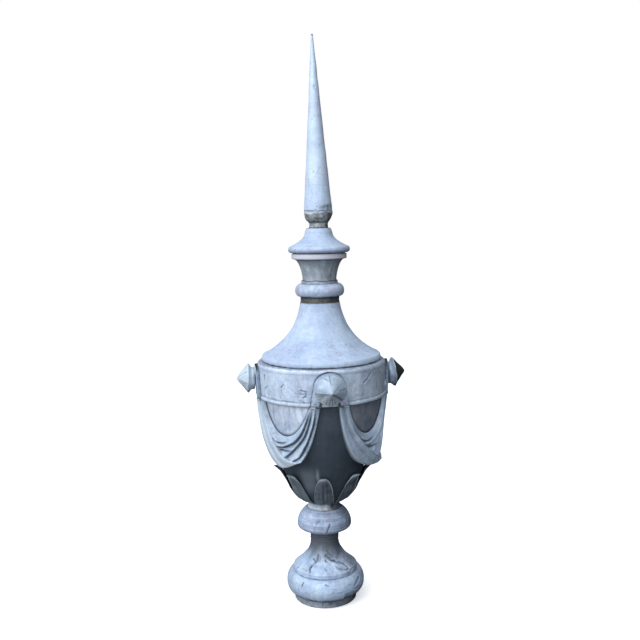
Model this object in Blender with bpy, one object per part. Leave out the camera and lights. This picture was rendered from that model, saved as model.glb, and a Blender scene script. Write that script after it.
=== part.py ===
"""Sheet-zinc roof finial: a draped urn on a turned foot, under a bell-shaped lid and a long spire.

Metres, +Z up. The foot's rim stands on Z = 0 and the urn's axis is the Z axis.
Pieces are stacked from the foot to the tip, and each one starts where the one below ends.
A turned piece is an outline of (radius, height) points, spun about the Z axis.
"""

from math import cos, pi, radians, sin, sqrt

import bmesh
import bpy
from mathutils import Vector

# Clearances: between stacked pieces, and from the round wall behind to the drapery and to the leaves
SEAM = 0.0003
SHEET_SEAM = 0.0012
LEAF_SEAM = 0.0042

# Fineness: sides of the turned pieces, and steps of a curve and of a small moulding
SIDES = 30
SMALL_SIDES = 24
SWEEP_STEPS = 6
BULGE_STEPS = 4
SHARP_EDGE = radians(35)
ROUND_PULL = 0.55

# Pairs of (radius, height) points named PULLS draw a piece's curve towards them.
# Foot: a hollow rim, a round moulding, a flared stem, a knop and a collar
RIM_RADIUS = 0.124
RIM_HEIGHT = 0.030
RIM_SOCKET_RADIUS = 0.094
BASE_HEIGHT = 0.086
BASE_RADIUS = 0.1555
BASE_STEP = 0.002
STEM_HEIGHT = 0.172
STEM_EDGE_RADIUS = 0.1265
STEM_EDGE_HEIGHT = 0.019
STEM_EDGE_ROUND = 0.003
STEM_RADIUS = 0.0555
STEM_PULLS = ((0.0904, 0.047), (0.0555, 0.079))
STEM_STRAIGHT = 0.032
KNOP_HEIGHT = 0.085
KNOP_FOOT_RADIUS = 0.0595
KNOP_RADIUS = 0.1078
KNOP_WIDEST_HEIGHT = 0.020
KNOP_TOP_RADIUS = 0.068
KNOP_UNDER_PULLS = ((0.0975, 0.0), (0.1078, 0.004))
KNOP_UPPER_PULLS = ((0.1078, 0.055), (0.080, 0.080))
COLLAR_HEIGHT = 0.028
COLLAR_FOOT_RADIUS = 0.065
COLLAR_WAIST_RADIUS = 0.062
COLLAR_WAIST_INSET = 0.010
COLLAR_RADIUS = 0.067

# Urn: an egg-shaped bowl in a calyx of leaves, with a frieze drum above it
BOWL_HEIGHT = 0.433
BOWL_FOOT_RADIUS = 0.052
BOWL_HIP_RADIUS = 0.150
BOWL_HIP_HEIGHT = 0.115
BOWL_RADIUS = 0.235
BOWL_LOWER_PULLS = ((0.108, 0.0), (0.130, 0.069))
BOWL_UPPER_PULLS = ((0.181, 0.176), (0.226, 0.300))
LEAF_COUNT = 8
LEAF_LENGTH = 0.142
LEAF_NOTCH = 0.016
LEAF_SHEET = 0.003
LEAF_TIP_SHEET = 0.002
LEAF_FLARE = 0.0215
LEAF_FLARE_START = 0.085
LEAF_RIB = 0.002
LEAF_COLUMNS = (-1.0, -0.62, -0.32, 0.0, 0.32, 0.62)
DRUM_HEIGHT = 0.136
DRUM_RADIUS = 0.2495
DRUM_LEDGE_RADIUS = 0.2345
DRUM_BEAD_RADIUS = 0.2537
DRUM_BEAD_HEIGHT = 0.013
DRUM_BEAD_SLOPE = 0.003
DRUM_SHOULDER = 0.013

# Bosses on arched straps, between four swags of drapery
BOSS_COUNT = 4
FRONT_BOSS_ANGLE = radians(6.5)
BOSS_DROP = 0.065
BOSS_RADIUS = 0.0545
BOSS_STEM_RADIUS = 0.043
BOSS_STEM_LENGTH = 0.022
BOSS_CONE_LENGTH = 0.047
BOSS_EDGE = 0.004
BOSS_SHOULDER_RADIUS = 0.0245
BOSS_SHOULDER_RISE = 0.029
BOSS_APEX_RADIUS = 0.005
BOSS_SIDES = 14
BOSS_TILTS = {"front": radians(-6), "right": radians(5), "back": 0.0, "left": radians(1)}
STRAP_PROUD = 0.012
STRAP_ARCH_RADIUS = 0.0565
STRAP_WIDTH = 0.027
STRAP_FOOT_WIDTH = 0.036
STRAP_FOOT_SPREAD = 0.0525
STRAP_KNEE_DROP = 0.028
STRAP_TURNS = 6

# The drapery's edges are curves of (angle from the left boss, drop below the drum), and its
# folds are shares of the way across it, from the inner edge to the outer one.
SWAG_DROP = 0.228
SWAG_INNER_DROP = 0.168
SWAG_INNER_ANGLES = (radians(18), radians(27), radians(60), radians(72.5))
SWAG_BAND_ANGLES = (radians(8), radians(12), radians(30), radians(64))
SWAG_BAND_DROPS = (0.0, 0.183, 0.295, SWAG_DROP)
SWAG_HANG_ANGLES = (radians(64), radians(72), radians(79), radians(82))
SWAG_HANG_DROPS = (SWAG_DROP, 0.173, 0.083, 0.0)
SWAG_CORNER = 0.62
SWAG_TOP_RADIUS = 0.2640
SWAG_CORNER_RADIUS = 0.2420
SWAG_EDGE = 0.004
SWAG_GATHER = 2.2
SWAG_RIDGES = (0.14, 0.36, 0.60, 1.0)
SWAG_GROOVE_WIDTH = 0.11
SWAG_GROOVE_DEPTH = 0.30
SWAG_INNER_STAND = 0.62
SWAG_BAND_INNER = 0.28
SWAG_BAND_LOWER = 0.32
SWAG_BAND_DIP = 0.18
SWAG_STATIONS = (0, 0.10, 0.20, 0.29, 0.38, 0.46, 0.53, 0.58, SWAG_CORNER, 0.70, 0.80, 0.90, 1.0)
SWAG_FOLDS = (0.0, 0.14, 0.25, 0.36, 0.48, 0.60, 0.76, 0.90, 1.0)

# Lid: a bell with a rolled rim, a sleeve, a knop and a waisted neck
BELL_HEIGHT = 0.2245
BELL_RIM_RADIUS = 0.2325
BELL_RIM_HEIGHT = 0.026
BELL_RIM_FOOT_RADIUS = 0.2275
BELL_RIM_TOP_RADIUS = 0.2225
BELL_NECK_RADIUS = 0.0765
BELL_PULLS = ((0.1634, 0.0566), (0.0944, 0.1115))
SLEEVE_HEIGHT = 0.023
SLEEVE_RADIUS = 0.0755
RING_HEIGHT = 0.049
RING_RADIUS = 0.0955
RING_FOOT_RADIUS = 0.0795
RING_TOP_RADIUS = 0.0735
NECK_HEIGHT = 0.115
NECK_RADIUS = 0.0655
NECK_FILLET_RADIUS = 0.0705
NECK_FILLET_HEIGHT = 0.011
NECK_FILLET_SLOPE = 0.003
NECK_TOP_RADIUS = 0.094
NECK_PULLS = ((0.0631, 0.0236), (0.0769, 0.0873))
NECK_BAND_RADIUS = 0.1065
NECK_BAND_HEIGHT = 0.019
NECK_BAND_ROUND = 0.003

# Top: a hat with a broad brim, a cup and the spire that leans a little
HAT_HEIGHT = 0.0975
HAT_GROOVE_RADIUS = 0.1005
HAT_GROOVE_HEIGHT = 0.003
HAT_BRIM_FOOT_RADIUS = 0.106
HAT_BRIM_RADIUS = 0.1195
HAT_BRIM_TOP_RADIUS = 0.1095
HAT_BRIM_HEIGHT = 0.029
HAT_PULLS = ((0.0403, 0.0621), (0.0609, 0.0741))
HAT_TOP_RADIUS = 0.048
HAT_TOP_ROUND = 0.003
CUP_HEIGHT = 0.064
CUP_NECK_RADIUS = 0.0375
CUP_NECK_HEIGHT = 0.024
CUP_PULLS = ((0.0465, 0.032), (0.0545, 0.042))
CUP_RADIUS = 0.0545
SPIRE_HEIGHT = 0.656
SPIRE_TIP_RADIUS = 0.0035
SPIRE_TIP_HEIGHT = 0.003
SPIRE_LEAN = radians(0.9)

# Finish
ZINC = (0.50, 0.58, 0.70, 1.0)
DARK_ZINC = (0.07, 0.09, 0.12, 1.0)
STAINED_ZINC = (0.22, 0.21, 0.20, 1.0)
ZINC_ROUGHNESS = 0.55
ZINC_METALLIC = 0.6


def clear_scene():
    for thing in list(bpy.data.objects):
        bpy.data.objects.remove(thing, do_unlink=True)


def make_material(name, colour):
    material = bpy.data.materials.new(name)
    material.use_nodes = True
    shader = material.node_tree.nodes["Principled BSDF"]
    shader.inputs["Base Color"].default_value = colour
    shader.inputs["Roughness"].default_value = ZINC_ROUGHNESS
    shader.inputs["Metallic"].default_value = ZINC_METALLIC
    return material


def add_object(name, mesh, colour, height=0.0, turn=0.0):
    """Puts the mesh in the scene on the urn's axis, at a height and turned about it."""
    mesh.materials.append(make_material(name, colour))
    mesh.shade_smooth()
    mesh.set_sharp_from_angle(angle=SHARP_EDGE)
    thing = bpy.data.objects.new(name, mesh)
    thing.location.z = height
    thing.rotation_euler.z = turn
    bpy.context.scene.collection.objects.link(thing)
    return thing


def curve_point(points, share):
    """The point of a cubic curve at a share of its length; the middle two of its four points pull it."""
    rest = 1 - share
    weights = (rest**3, 3 * share * rest**2, 3 * share**2 * rest, share**3)
    return tuple(sum(w * point[i] for w, point in zip(weights, points)) for i in (0, 1))


def sweep(start, pulls, end, steps=SWEEP_STEPS):
    """Points of a smooth curve from start to end, drawn towards two pulls; start is left out."""
    return [curve_point((start, *pulls, end), step / steps) for step in range(1, steps + 1)]


def bulge(start, end, widest, steps=BULGE_STEPS):
    """A rounded moulding from start up to end that reaches the widest radius halfway up."""
    middle = (widest, (start[1] + end[1]) / 2)
    halves = []
    for edge in (start, end):
        outward = (edge[0] + (widest - edge[0]) * ROUND_PULL, edge[1])
        upward = (widest, middle[1] + (edge[1] - middle[1]) * (1 - ROUND_PULL))
        halves.append((outward, upward))
    lower = sweep(start, halves[0], middle, steps // 2)
    return lower + sweep(middle, halves[1][::-1], end, steps // 2)


def spun(name, outline, colour, height=0.0, sides=SIDES, closed=False):
    """Spins an outline of (radius, height) points about the Z axis into one solid."""
    shape = bmesh.new()
    points = [shape.verts.new((radius, 0, z)) for radius, z in outline]
    pairs = list(zip(points, points[1:]))
    if closed:
        pairs.append((points[-1], points[0]))
    for first, second in pairs:
        shape.edges.new((first, second))
    bmesh.ops.spin(
        shape, geom=shape.verts[:] + shape.edges[:], cent=(0, 0, 0), axis=(0, 0, 1),
        angle=2 * pi, steps=sides, use_merge=True,
    )
    bmesh.ops.remove_doubles(shape, verts=shape.verts, dist=1e-6)
    bmesh.ops.recalc_face_normals(shape, faces=shape.faces)
    mesh = bpy.data.meshes.new(name)
    shape.to_mesh(mesh)
    shape.free()
    return add_object(name, mesh, colour, height)


def skinned(name, sections, around=False):
    """A mesh over closed loops of points. Loops run on to a last one, or back to the first."""
    shape = bmesh.new()
    rings = [[shape.verts.new(point) for point in section] for section in sections]
    pairs = list(zip(rings, rings[1:] + rings[:1] if around else rings[1:]))
    for ring, following in pairs:
        for i in range(len(ring)):
            j = (i + 1) % len(ring)
            shape.faces.new((ring[i], ring[j], following[j], following[i]))
    if not around:
        shape.faces.new(rings[0])
        shape.faces.new(rings[-1])
    bmesh.ops.triangulate(shape, faces=shape.faces)
    bmesh.ops.recalc_face_normals(shape, faces=shape.faces)
    mesh = bpy.data.meshes.new(name)
    shape.to_mesh(mesh)
    shape.free()
    return mesh


def radius_at(outline, height):
    """Radius of an outline at a height, on its straight stretches, as the faceted piece has it."""
    for (r_low, low), (r_high, high) in zip(outline, outline[1:]):
        if low <= height <= high and high > low:
            return r_low + (r_high - r_low) * (height - low) / (high - low)
    return outline[0][0] if height < outline[0][1] else outline[-1][0]


def on_wall(angle, radius, height):
    """A point at an angle from the front, growing to the right, at a radius and a height."""
    return Vector((radius * sin(angle), -radius * cos(angle), height))


def foot_rim():
    outline = [
        (RIM_SOCKET_RADIUS, 0), (RIM_RADIUS, 0),
        (RIM_RADIUS, RIM_HEIGHT - SEAM), (RIM_SOCKET_RADIUS, RIM_HEIGHT - SEAM),
    ]
    spun("foot_rim", outline, ZINC, closed=True)


def base_moulding(height):
    top = (STEM_EDGE_RADIUS, BASE_HEIGHT - SEAM)
    foot = (RIM_RADIUS + BASE_STEP, 0)
    outline = [(0, 0), foot] + bulge(foot, top, BASE_RADIUS, SWEEP_STEPS) + [(0, top[1])]
    spun("base_moulding", outline, ZINC, height)


def flared_stem(height):
    top = STEM_HEIGHT - SEAM
    edge = (STEM_EDGE_RADIUS, STEM_EDGE_HEIGHT)
    flare = (STEM_EDGE_RADIUS - STEM_EDGE_ROUND, STEM_EDGE_HEIGHT + BASE_STEP)
    outline = [(0, 0), (STEM_EDGE_RADIUS, 0), edge, flare]
    outline += sweep(flare, STEM_PULLS, (STEM_RADIUS, STEM_HEIGHT - STEM_STRAIGHT))
    outline += [(STEM_RADIUS, top), (0, top)]
    spun("flared_stem", outline, ZINC, height, SMALL_SIDES)


def foot_knop(height):
    foot = (KNOP_FOOT_RADIUS, 0)
    widest = (KNOP_RADIUS, KNOP_WIDEST_HEIGHT)
    top = (KNOP_TOP_RADIUS, KNOP_HEIGHT - SEAM)
    outline = [(0, 0), foot] + sweep(foot, KNOP_UNDER_PULLS, widest, BULGE_STEPS)
    outline += sweep(widest, KNOP_UPPER_PULLS, top) + [(0, top[1])]
    spun("foot_knop", outline, ZINC, height, SMALL_SIDES)


def collar(height):
    top = COLLAR_HEIGHT - SEAM
    outline = [(0, 0), (COLLAR_FOOT_RADIUS, 0), (COLLAR_WAIST_RADIUS, COLLAR_WAIST_INSET)]
    outline += [(COLLAR_WAIST_RADIUS, top - COLLAR_WAIST_INSET), (COLLAR_RADIUS, top), (0, top)]
    spun("collar", outline, ZINC, height, SMALL_SIDES)


def bowl_outline():
    """The bowl's wall from its foot up to the drum, as the leaves and the drapery lie on it."""
    foot = (BOWL_FOOT_RADIUS, 0)
    hip = (BOWL_HIP_RADIUS, BOWL_HIP_HEIGHT)
    lower = sweep(foot, BOWL_LOWER_PULLS, hip, BULGE_STEPS)
    return [foot] + lower + sweep(hip, BOWL_UPPER_PULLS, (BOWL_RADIUS, BOWL_HEIGHT - SEAM))


def bowl(height):
    outline = bowl_outline()
    spun("bowl", [(0, 0)] + outline + [(0, outline[-1][1])], DARK_ZINC, height)


def leaf_top(offset):
    """Height of a leaf's edge, at an offset from its middle as a share of half the leaf's pitch."""
    tongue = max(0.0, 1 - abs(offset) ** 2.5) ** 1.8
    return LEAF_NOTCH + (LEAF_LENGTH - LEAF_NOTCH) * tongue


def calyx(height):
    """Eight tongue-shaped leaves round the foot of the bowl, with a groove down each and flared tips."""
    wall = bowl_outline()
    levels = [z for _, z in wall if z < LEAF_FLARE_START] + [LEAF_FLARE_START, BOWL_HIP_HEIGHT, LEAF_LENGTH]
    sections = []
    for leaf in range(LEAF_COUNT):
        for offset in LEAF_COLUMNS:
            angle = 2 * pi / LEAF_COUNT * (leaf + offset / 2)
            groove = LEAF_RIB * sin(pi * abs(offset)) if offset else -LEAF_RIB
            outer, inner = [], []
            for level in levels:
                rise = max(0.0, (level - LEAF_NOTCH) / (LEAF_LENGTH - LEAF_NOTCH))
                z = SEAM + min(level, LEAF_NOTCH) + rise * (leaf_top(offset) - LEAF_NOTCH)
                flare = LEAF_FLARE * max(0.0, (z - LEAF_FLARE_START) / (LEAF_LENGTH - LEAF_FLARE_START))
                back = radius_at(wall, z + LEAF_SEAM) + LEAF_SEAM + flare
                sheet = LEAF_SHEET + (LEAF_TIP_SHEET - LEAF_SHEET) * rise + groove * (1 - rise)
                outer.append(on_wall(angle, back + sheet, z))
                inner.append(on_wall(angle, back, z))
            sections.append(outer + inner[::-1])
    add_object("calyx", skinned("calyx", sections, around=True), DARK_ZINC, height)


def drum_outline():
    """The frieze drum's wall, from its lower bead to its rounded shoulder."""
    shoulder = (DRUM_RADIUS, DRUM_HEIGHT - DRUM_SHOULDER)
    outline = [(DRUM_BEAD_RADIUS, 0), (DRUM_BEAD_RADIUS, DRUM_BEAD_HEIGHT)]
    outline += [(DRUM_RADIUS, DRUM_BEAD_HEIGHT + DRUM_BEAD_SLOPE), shoulder]
    top = (DRUM_LEDGE_RADIUS, DRUM_HEIGHT - SEAM)
    corner = (DRUM_RADIUS, top[1])
    return outline + sweep(shoulder, (corner, corner), top, BULGE_STEPS)


def drum(height):
    outline = drum_outline()
    spun("drum", [(0, 0)] + outline + [(0, outline[-1][1])], ZINC, height)


def strap_path():
    """(across, up, width, direction) down a strap: up one leg, over the boss and down the other."""
    arch = STRAP_ARCH_RADIUS - STRAP_WIDTH / 2
    leg = DRUM_HEIGHT - BOSS_DROP
    knees = (leg - SEAM, leg - DRUM_BEAD_HEIGHT - DRUM_BEAD_SLOPE, STRAP_KNEE_DROP)
    path = []
    for drop in knees:
        share = drop / leg
        across = arch + (STRAP_FOOT_SPREAD - arch) * share
        width = STRAP_WIDTH + (STRAP_FOOT_WIDTH - STRAP_WIDTH) * share
        path.append((across, -drop, width, 0.0))
    angles = [pi * i / STRAP_TURNS for i in range(STRAP_TURNS + 1)]
    over = [(arch * cos(a), arch * sin(a), STRAP_WIDTH, a) for a in angles]
    return path + over + [(-across, up, width, pi) for across, up, width, _ in reversed(path)]


def strap(name, height, turn):
    """An arch of sheet that holds a boss on the drum, and runs down over the drum's lower bead."""
    wall = drum_outline()
    middle = DRUM_HEIGHT - BOSS_DROP
    corners = ((-0.5, 0), (0.5, 0), (0.5, 1), (-0.5, 1))
    sections = []
    for across, up, width, direction in strap_path():
        section = []
        for side, proud in corners:
            x = across + side * width * cos(direction)
            z = middle + up + side * width * sin(direction)
            reach = max(radius_at(wall, z - DRUM_BEAD_SLOPE), DRUM_RADIUS)
            radius = reach + SHEET_SEAM + proud * (DRUM_RADIUS + STRAP_PROUD - reach)
            section.append(on_wall(x / DRUM_RADIUS, radius, max(z, SEAM)))
        sections.append(section)
    add_object(name, skinned(name, sections), ZINC, height, turn)


def boss(name, height, turn, tilt):
    """A short round stem that widens to a disc with a blunt cone, tilted as it was dented."""
    seat = DRUM_RADIUS + STRAP_PROUD + SHEET_SEAM + SEAM
    disc = BOSS_STEM_LENGTH
    rings = [
        (STRAP_ARCH_RADIUS - STRAP_WIDTH, 0.0), (BOSS_STEM_RADIUS, 0.0),
        (BOSS_RADIUS, disc), (BOSS_RADIUS, disc + BOSS_EDGE),
        (BOSS_SHOULDER_RADIUS, disc + BOSS_SHOULDER_RISE), (BOSS_APEX_RADIUS, disc + BOSS_CONE_LENGTH),
    ]
    sections = []
    for radius, out in rings:
        lean = tilt * min(out / disc, 1.0)
        section = []
        for i in range(BOSS_SIDES):
            angle = 2 * pi * i / BOSS_SIDES
            across, up = radius * cos(angle), radius * sin(angle)
            depth = seat + out if out else sqrt(seat**2 - across**2)
            section.append(Vector((across, up * sin(lean) - depth, up * cos(lean) + out * sin(lean))))
        sections.append(section)
    middle = height + DRUM_HEIGHT - BOSS_DROP
    add_object(name, skinned(name, sections), ZINC, middle, turn)


def swag_inner(s):
    """Angle and drop of the drapery's inner edge, from its left end to its right end."""
    return curve_point(list(zip(SWAG_INNER_ANGLES, (0, SWAG_INNER_DROP, SWAG_INNER_DROP, 0))), s)


def swag_outer(s):
    """Angle and drop of the outer edge: one sweep down to the low corner, one up to the right boss."""
    if s <= SWAG_CORNER:
        return curve_point(list(zip(SWAG_BAND_ANGLES, SWAG_BAND_DROPS)), s / SWAG_CORNER)
    hang = list(zip(SWAG_HANG_ANGLES, SWAG_HANG_DROPS))
    return curve_point(hang, (s - SWAG_CORNER) / (1 - SWAG_CORNER))


def swag_relief(s, fold):
    """How far the drapery stands off the bowl, as a share of its full stand-off.

    Left of the low corner a broad band crosses the folds; it narrows as it runs down to the corner.
    """
    band = 1.0
    if s < SWAG_CORNER:
        run = s / SWAG_CORNER
        band = SWAG_BAND_INNER + (SWAG_BAND_LOWER - SWAG_BAND_INNER) * run
        band += (1 - SWAG_BAND_LOWER) * run**3
    if fold >= band:
        across = (fold - band) / (1 - band) if band < 1 else 1.0
        return 1 - SWAG_BAND_DIP * sin(pi * across) ** 2
    nearest = min(abs(fold - ridge) for ridge in SWAG_RIDGES)
    groove = SWAG_GROOVE_DEPTH * min(1.0, nearest / SWAG_GROOVE_WIDTH)
    rise = min(1.0, fold / SWAG_RIDGES[0])
    return (SWAG_INNER_STAND + (1 - SWAG_INNER_STAND) * fold) * rise * (1 - groove * rise)


def swag(name, height, turn):
    """One length of drapery hung from two bosses, gathered to the right and crossed by a broad band."""
    wall = bowl_outline()
    top = BOWL_HEIGHT - 2 * SEAM
    sections = []
    for s in SWAG_STATIONS:
        inner, outer = swag_inner(s), swag_outer(s)
        hanging = max(0.0, (s - SWAG_CORNER) / (1 - SWAG_CORNER))
        gather = 1 + SWAG_GATHER * hanging**1.5
        front, back = [], []
        for fold in SWAG_FOLDS:
            share = fold**gather
            angle, drop = (inner[i] + (outer[i] - inner[i]) * share for i in (0, 1))
            z = top - drop
            hung = SWAG_TOP_RADIUS + (SWAG_CORNER_RADIUS - SWAG_TOP_RADIUS) * drop / SWAG_DROP
            behind = radius_at(wall, z) + SHEET_SEAM
            stand = max(SWAG_EDGE, (hung - behind) * swag_relief(s, fold))
            front.append(on_wall(angle, behind + stand, z))
            back.append(on_wall(angle, behind, z))
        sections.append(front + back[::-1])
    add_object(name, skinned(name, sections), ZINC, height, turn)


def bell(height):
    foot = (BELL_RIM_FOOT_RADIUS, 0)
    rim_top = (BELL_RIM_TOP_RADIUS, BELL_RIM_HEIGHT)
    top = (BELL_NECK_RADIUS, BELL_HEIGHT - SEAM)
    outline = [(0, 0), foot] + bulge(foot, rim_top, BELL_RIM_RADIUS)
    outline += sweep(rim_top, BELL_PULLS, top, SWEEP_STEPS + 1) + [(0, top[1])]
    spun("bell", outline, ZINC, height)


def sleeve(height):
    top = SLEEVE_HEIGHT - SEAM
    outline = [(0, 0), (SLEEVE_RADIUS, 0), (SLEEVE_RADIUS, top), (0, top)]
    spun("sleeve", outline, STAINED_ZINC, height, SMALL_SIDES)


def lid_knop(height):
    foot, top = (RING_FOOT_RADIUS, 0), (RING_TOP_RADIUS, RING_HEIGHT - SEAM)
    outline = [(0, 0), foot] + bulge(foot, top, RING_RADIUS, SWEEP_STEPS) + [(0, top[1])]
    spun("lid_knop", outline, ZINC, height, SMALL_SIDES)


def waisted_neck(height):
    top = NECK_HEIGHT - SEAM
    band = NECK_HEIGHT - NECK_BAND_HEIGHT
    waist = (NECK_RADIUS, NECK_FILLET_HEIGHT + NECK_FILLET_SLOPE)
    outline = [(0, 0), (NECK_FILLET_RADIUS, 0), (NECK_FILLET_RADIUS, NECK_FILLET_HEIGHT), waist]
    outline += sweep(waist, NECK_PULLS, (NECK_TOP_RADIUS, band - NECK_BAND_ROUND))
    outline += [(NECK_BAND_RADIUS - NECK_BAND_ROUND, band), (NECK_BAND_RADIUS, band + NECK_BAND_ROUND)]
    outline += [(NECK_BAND_RADIUS, top), (0, top)]
    spun("waisted_neck", outline, ZINC, height, SMALL_SIDES)


def hat(height):
    top = HAT_HEIGHT - SEAM
    under = (HAT_BRIM_FOOT_RADIUS, HAT_GROOVE_HEIGHT)
    brim = (HAT_BRIM_TOP_RADIUS, HAT_BRIM_HEIGHT)
    outline = [(0, 0), (HAT_GROOVE_RADIUS, 0), (HAT_GROOVE_RADIUS, HAT_GROOVE_HEIGHT), under]
    outline += bulge(under, brim, HAT_BRIM_RADIUS)
    outline += sweep(brim, HAT_PULLS, (HAT_TOP_RADIUS, HAT_HEIGHT - HAT_TOP_ROUND))
    outline += [(HAT_TOP_RADIUS - HAT_TOP_ROUND, top), (0, top)]
    spun("hat", outline, ZINC, height, SMALL_SIDES)


def cup(height):
    waist, top = (CUP_NECK_RADIUS, CUP_NECK_HEIGHT), (CUP_RADIUS, CUP_HEIGHT - SEAM)
    outline = [(0, 0), (CUP_NECK_RADIUS, 0), waist]
    outline += sweep(waist, CUP_PULLS, top, BULGE_STEPS) + [(0, top[1])]
    spun("spire_cup", outline, STAINED_ZINC, height, SMALL_SIDES)


def spire(height):
    """A plain cone. It leans to the left, so its foot is lifted by as much as the lean dips its edge."""
    dip = CUP_RADIUS * sin(SPIRE_LEAN)
    top = SPIRE_HEIGHT - dip
    outline = [(0, 0), (CUP_RADIUS, 0), (SPIRE_TIP_RADIUS, top - SPIRE_TIP_HEIGHT), (0, top)]
    cone = spun("spire", outline, ZINC, height + dip, SMALL_SIDES)
    cone.rotation_euler.y = -SPIRE_LEAN


def ornament(level):
    """Straps, bosses and swags in turn round the urn, from the front to the right."""
    sides = list(BOSS_TILTS)
    for i, side in enumerate(sides):
        turn = FRONT_BOSS_ANGLE + 2 * pi / BOSS_COUNT * i
        strap("strap_" + side, level["drum"], turn)
        boss("boss_" + side, level["drum"], turn, BOSS_TILTS[side])
        following = sides[(i + 1) % BOSS_COUNT]
        swag("swag_" + side + "_to_" + following, level["bowl"], turn)


def main():
    clear_scene()
    stack = (
        ("base", RIM_HEIGHT), ("stem", BASE_HEIGHT), ("knop", STEM_HEIGHT), ("collar", KNOP_HEIGHT),
        ("bowl", COLLAR_HEIGHT), ("drum", BOWL_HEIGHT), ("bell", DRUM_HEIGHT), ("sleeve", BELL_HEIGHT),
        ("ring", SLEEVE_HEIGHT), ("neck", RING_HEIGHT), ("hat", NECK_HEIGHT), ("cup", HAT_HEIGHT),
        ("spire", CUP_HEIGHT),
    )
    level, height = {}, 0.0
    for name, piece_below in stack:
        height += piece_below
        level[name] = height
    foot_rim()
    base_moulding(level["base"])
    flared_stem(level["stem"])
    foot_knop(level["knop"])
    collar(level["collar"])
    bowl(level["bowl"])
    calyx(level["bowl"])
    drum(level["drum"])
    ornament(level)
    bell(level["bell"])
    sleeve(level["sleeve"])
    lid_knop(level["ring"])
    waisted_neck(level["neck"])
    hat(level["hat"])
    cup(level["cup"])
    spire(level["spire"])


main()
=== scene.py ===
# %% [markdown]
# # A sheet-zinc roof spire, piece by piece
# The object is a hollow roof ornament of thin zinc sheet: a draped urn on a turned foot, a lid
# shaped like a bell, and a long cone. A zinc worker spun the round pieces on a lathe, pressed the
# drapery and the leaves in moulds, and soldered them all together. This lesson rebuilds it in that
# order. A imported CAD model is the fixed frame, and each fine piece here stands in for one of its
# nodes, in the same place.

# %% Load the fixed frame
from math import atan2, cos, degrees, exp, hypot, pi, radians, sin, sqrt, tan

import bmesh
import bpy
from mathutils import Matrix, Vector, noise


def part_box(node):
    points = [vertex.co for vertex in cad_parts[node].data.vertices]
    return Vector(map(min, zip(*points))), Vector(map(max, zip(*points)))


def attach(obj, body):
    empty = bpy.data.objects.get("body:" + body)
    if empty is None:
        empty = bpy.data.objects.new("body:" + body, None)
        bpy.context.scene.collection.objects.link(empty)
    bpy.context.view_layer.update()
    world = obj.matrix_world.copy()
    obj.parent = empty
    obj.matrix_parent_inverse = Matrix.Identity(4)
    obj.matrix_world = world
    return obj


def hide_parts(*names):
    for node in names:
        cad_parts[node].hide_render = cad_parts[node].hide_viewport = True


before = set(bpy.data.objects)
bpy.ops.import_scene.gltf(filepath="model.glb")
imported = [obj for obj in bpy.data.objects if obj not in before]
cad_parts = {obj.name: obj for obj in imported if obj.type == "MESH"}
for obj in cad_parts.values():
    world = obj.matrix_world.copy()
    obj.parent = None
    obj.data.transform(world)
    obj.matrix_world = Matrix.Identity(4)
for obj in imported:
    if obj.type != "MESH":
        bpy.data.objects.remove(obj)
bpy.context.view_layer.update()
print("frame nodes:", len(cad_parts))

# %% [markdown]
# ## The camera
# The picture was taken by someone standing about three metres away, with the camera held at the
# height of the lid, so the foot is seen from above and the spire from below. The camera looks down
# by seven degrees and is rolled by one, which makes the whole object lean to the left.

# %% Camera
EYE = Vector((0.0, -3.018, 1.492))
LOOK_DOWN = radians(6.98)
ROLL = radians(-1.152)

camera_data = bpy.data.cameras.new("camera")
camera_data.sensor_width = 36
camera_data.lens = 43.9
camera_data.shift_x = -0.0005
camera = bpy.data.objects.new("camera", camera_data)
camera.matrix_world = (
    Matrix.Translation(EYE) @ Matrix.Rotation(pi / 2 - LOOK_DOWN, 4, "X") @ Matrix.Rotation(ROLL, 4, "Z")
)
bpy.context.scene.collection.objects.link(camera)
bpy.context.scene.camera = camera
bpy.context.scene.view_settings.view_transform = "Standard"
print("camera at", [round(v, 3) for v in EYE])

# %% [markdown]
# ## Adding shader nodes
# Every finish below is a tree of nodes. One small function adds a node: it sets the node's own
# settings, and each input is either a value or the socket that feeds it. The functions after it
# wrap the nodes that come up again and again. Colours are written as the hex values that a paint
# chart gives, and one function turns them linear for the renderer.


# %% Node and colour helpers
def add(tree, kind, settings=None, *values, **inputs):
    """Adds a node: values fill its inputs in order and inputs by name; a socket among them is linked."""
    node = tree.nodes.new(kind)
    for name, value in (settings or {}).items():
        setattr(node, name, value)
    named = {name.replace("_", " "): value for name, value in inputs.items()}
    for key, value in (*enumerate(values), *named.items()):
        if isinstance(value, bpy.types.NodeSocket):
            tree.links.new(value, node.inputs[key])
        else:
            node.inputs[key].default_value = value
    return node


def linear(hex_colour):
    channels = [int(hex_colour[i : i + 2], 16) / 255 for i in (1, 3, 5)]
    return tuple(c / 12.92 if c <= 0.04045 else ((c + 0.055) / 1.055) ** 2.4 for c in channels) + (1.0,)


def maths(tree, operation, *values):
    return add(tree, "ShaderNodeMath", {"operation": operation}, *values).outputs[0]


def ramp(tree, value, start, end, low=0.0, high=1.0, kind="LINEAR"):
    """Turns the span from start to end of a value into the span from low to high."""
    return add(tree, "ShaderNodeMapRange", {"interpolation_type": kind}, Value=value, From_Min=start,
               From_Max=end, To_Min=low, To_Max=high).outputs["Result"]


def mix(tree, share, first, second, kind="MIX"):
    colours = (linear(colour) if isinstance(colour, str) else colour for colour in (first, second))
    return add(tree, "ShaderNodeMixRGB", {"blend_type": kind}, share, *colours).outputs[0]


def patches(tree, place, size, stretch=None, settings=None, **inputs):
    """Noise with patches of about size mm, drawn out along an axis where stretch is less than 1."""
    if stretch:
        place = add(tree, "ShaderNodeMapping", Vector=place, Scale=stretch).outputs[0]
    return add(tree, "ShaderNodeTexNoise", settings, Vector=place, Scale=1000 / size, **inputs).outputs["Fac"]


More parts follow.
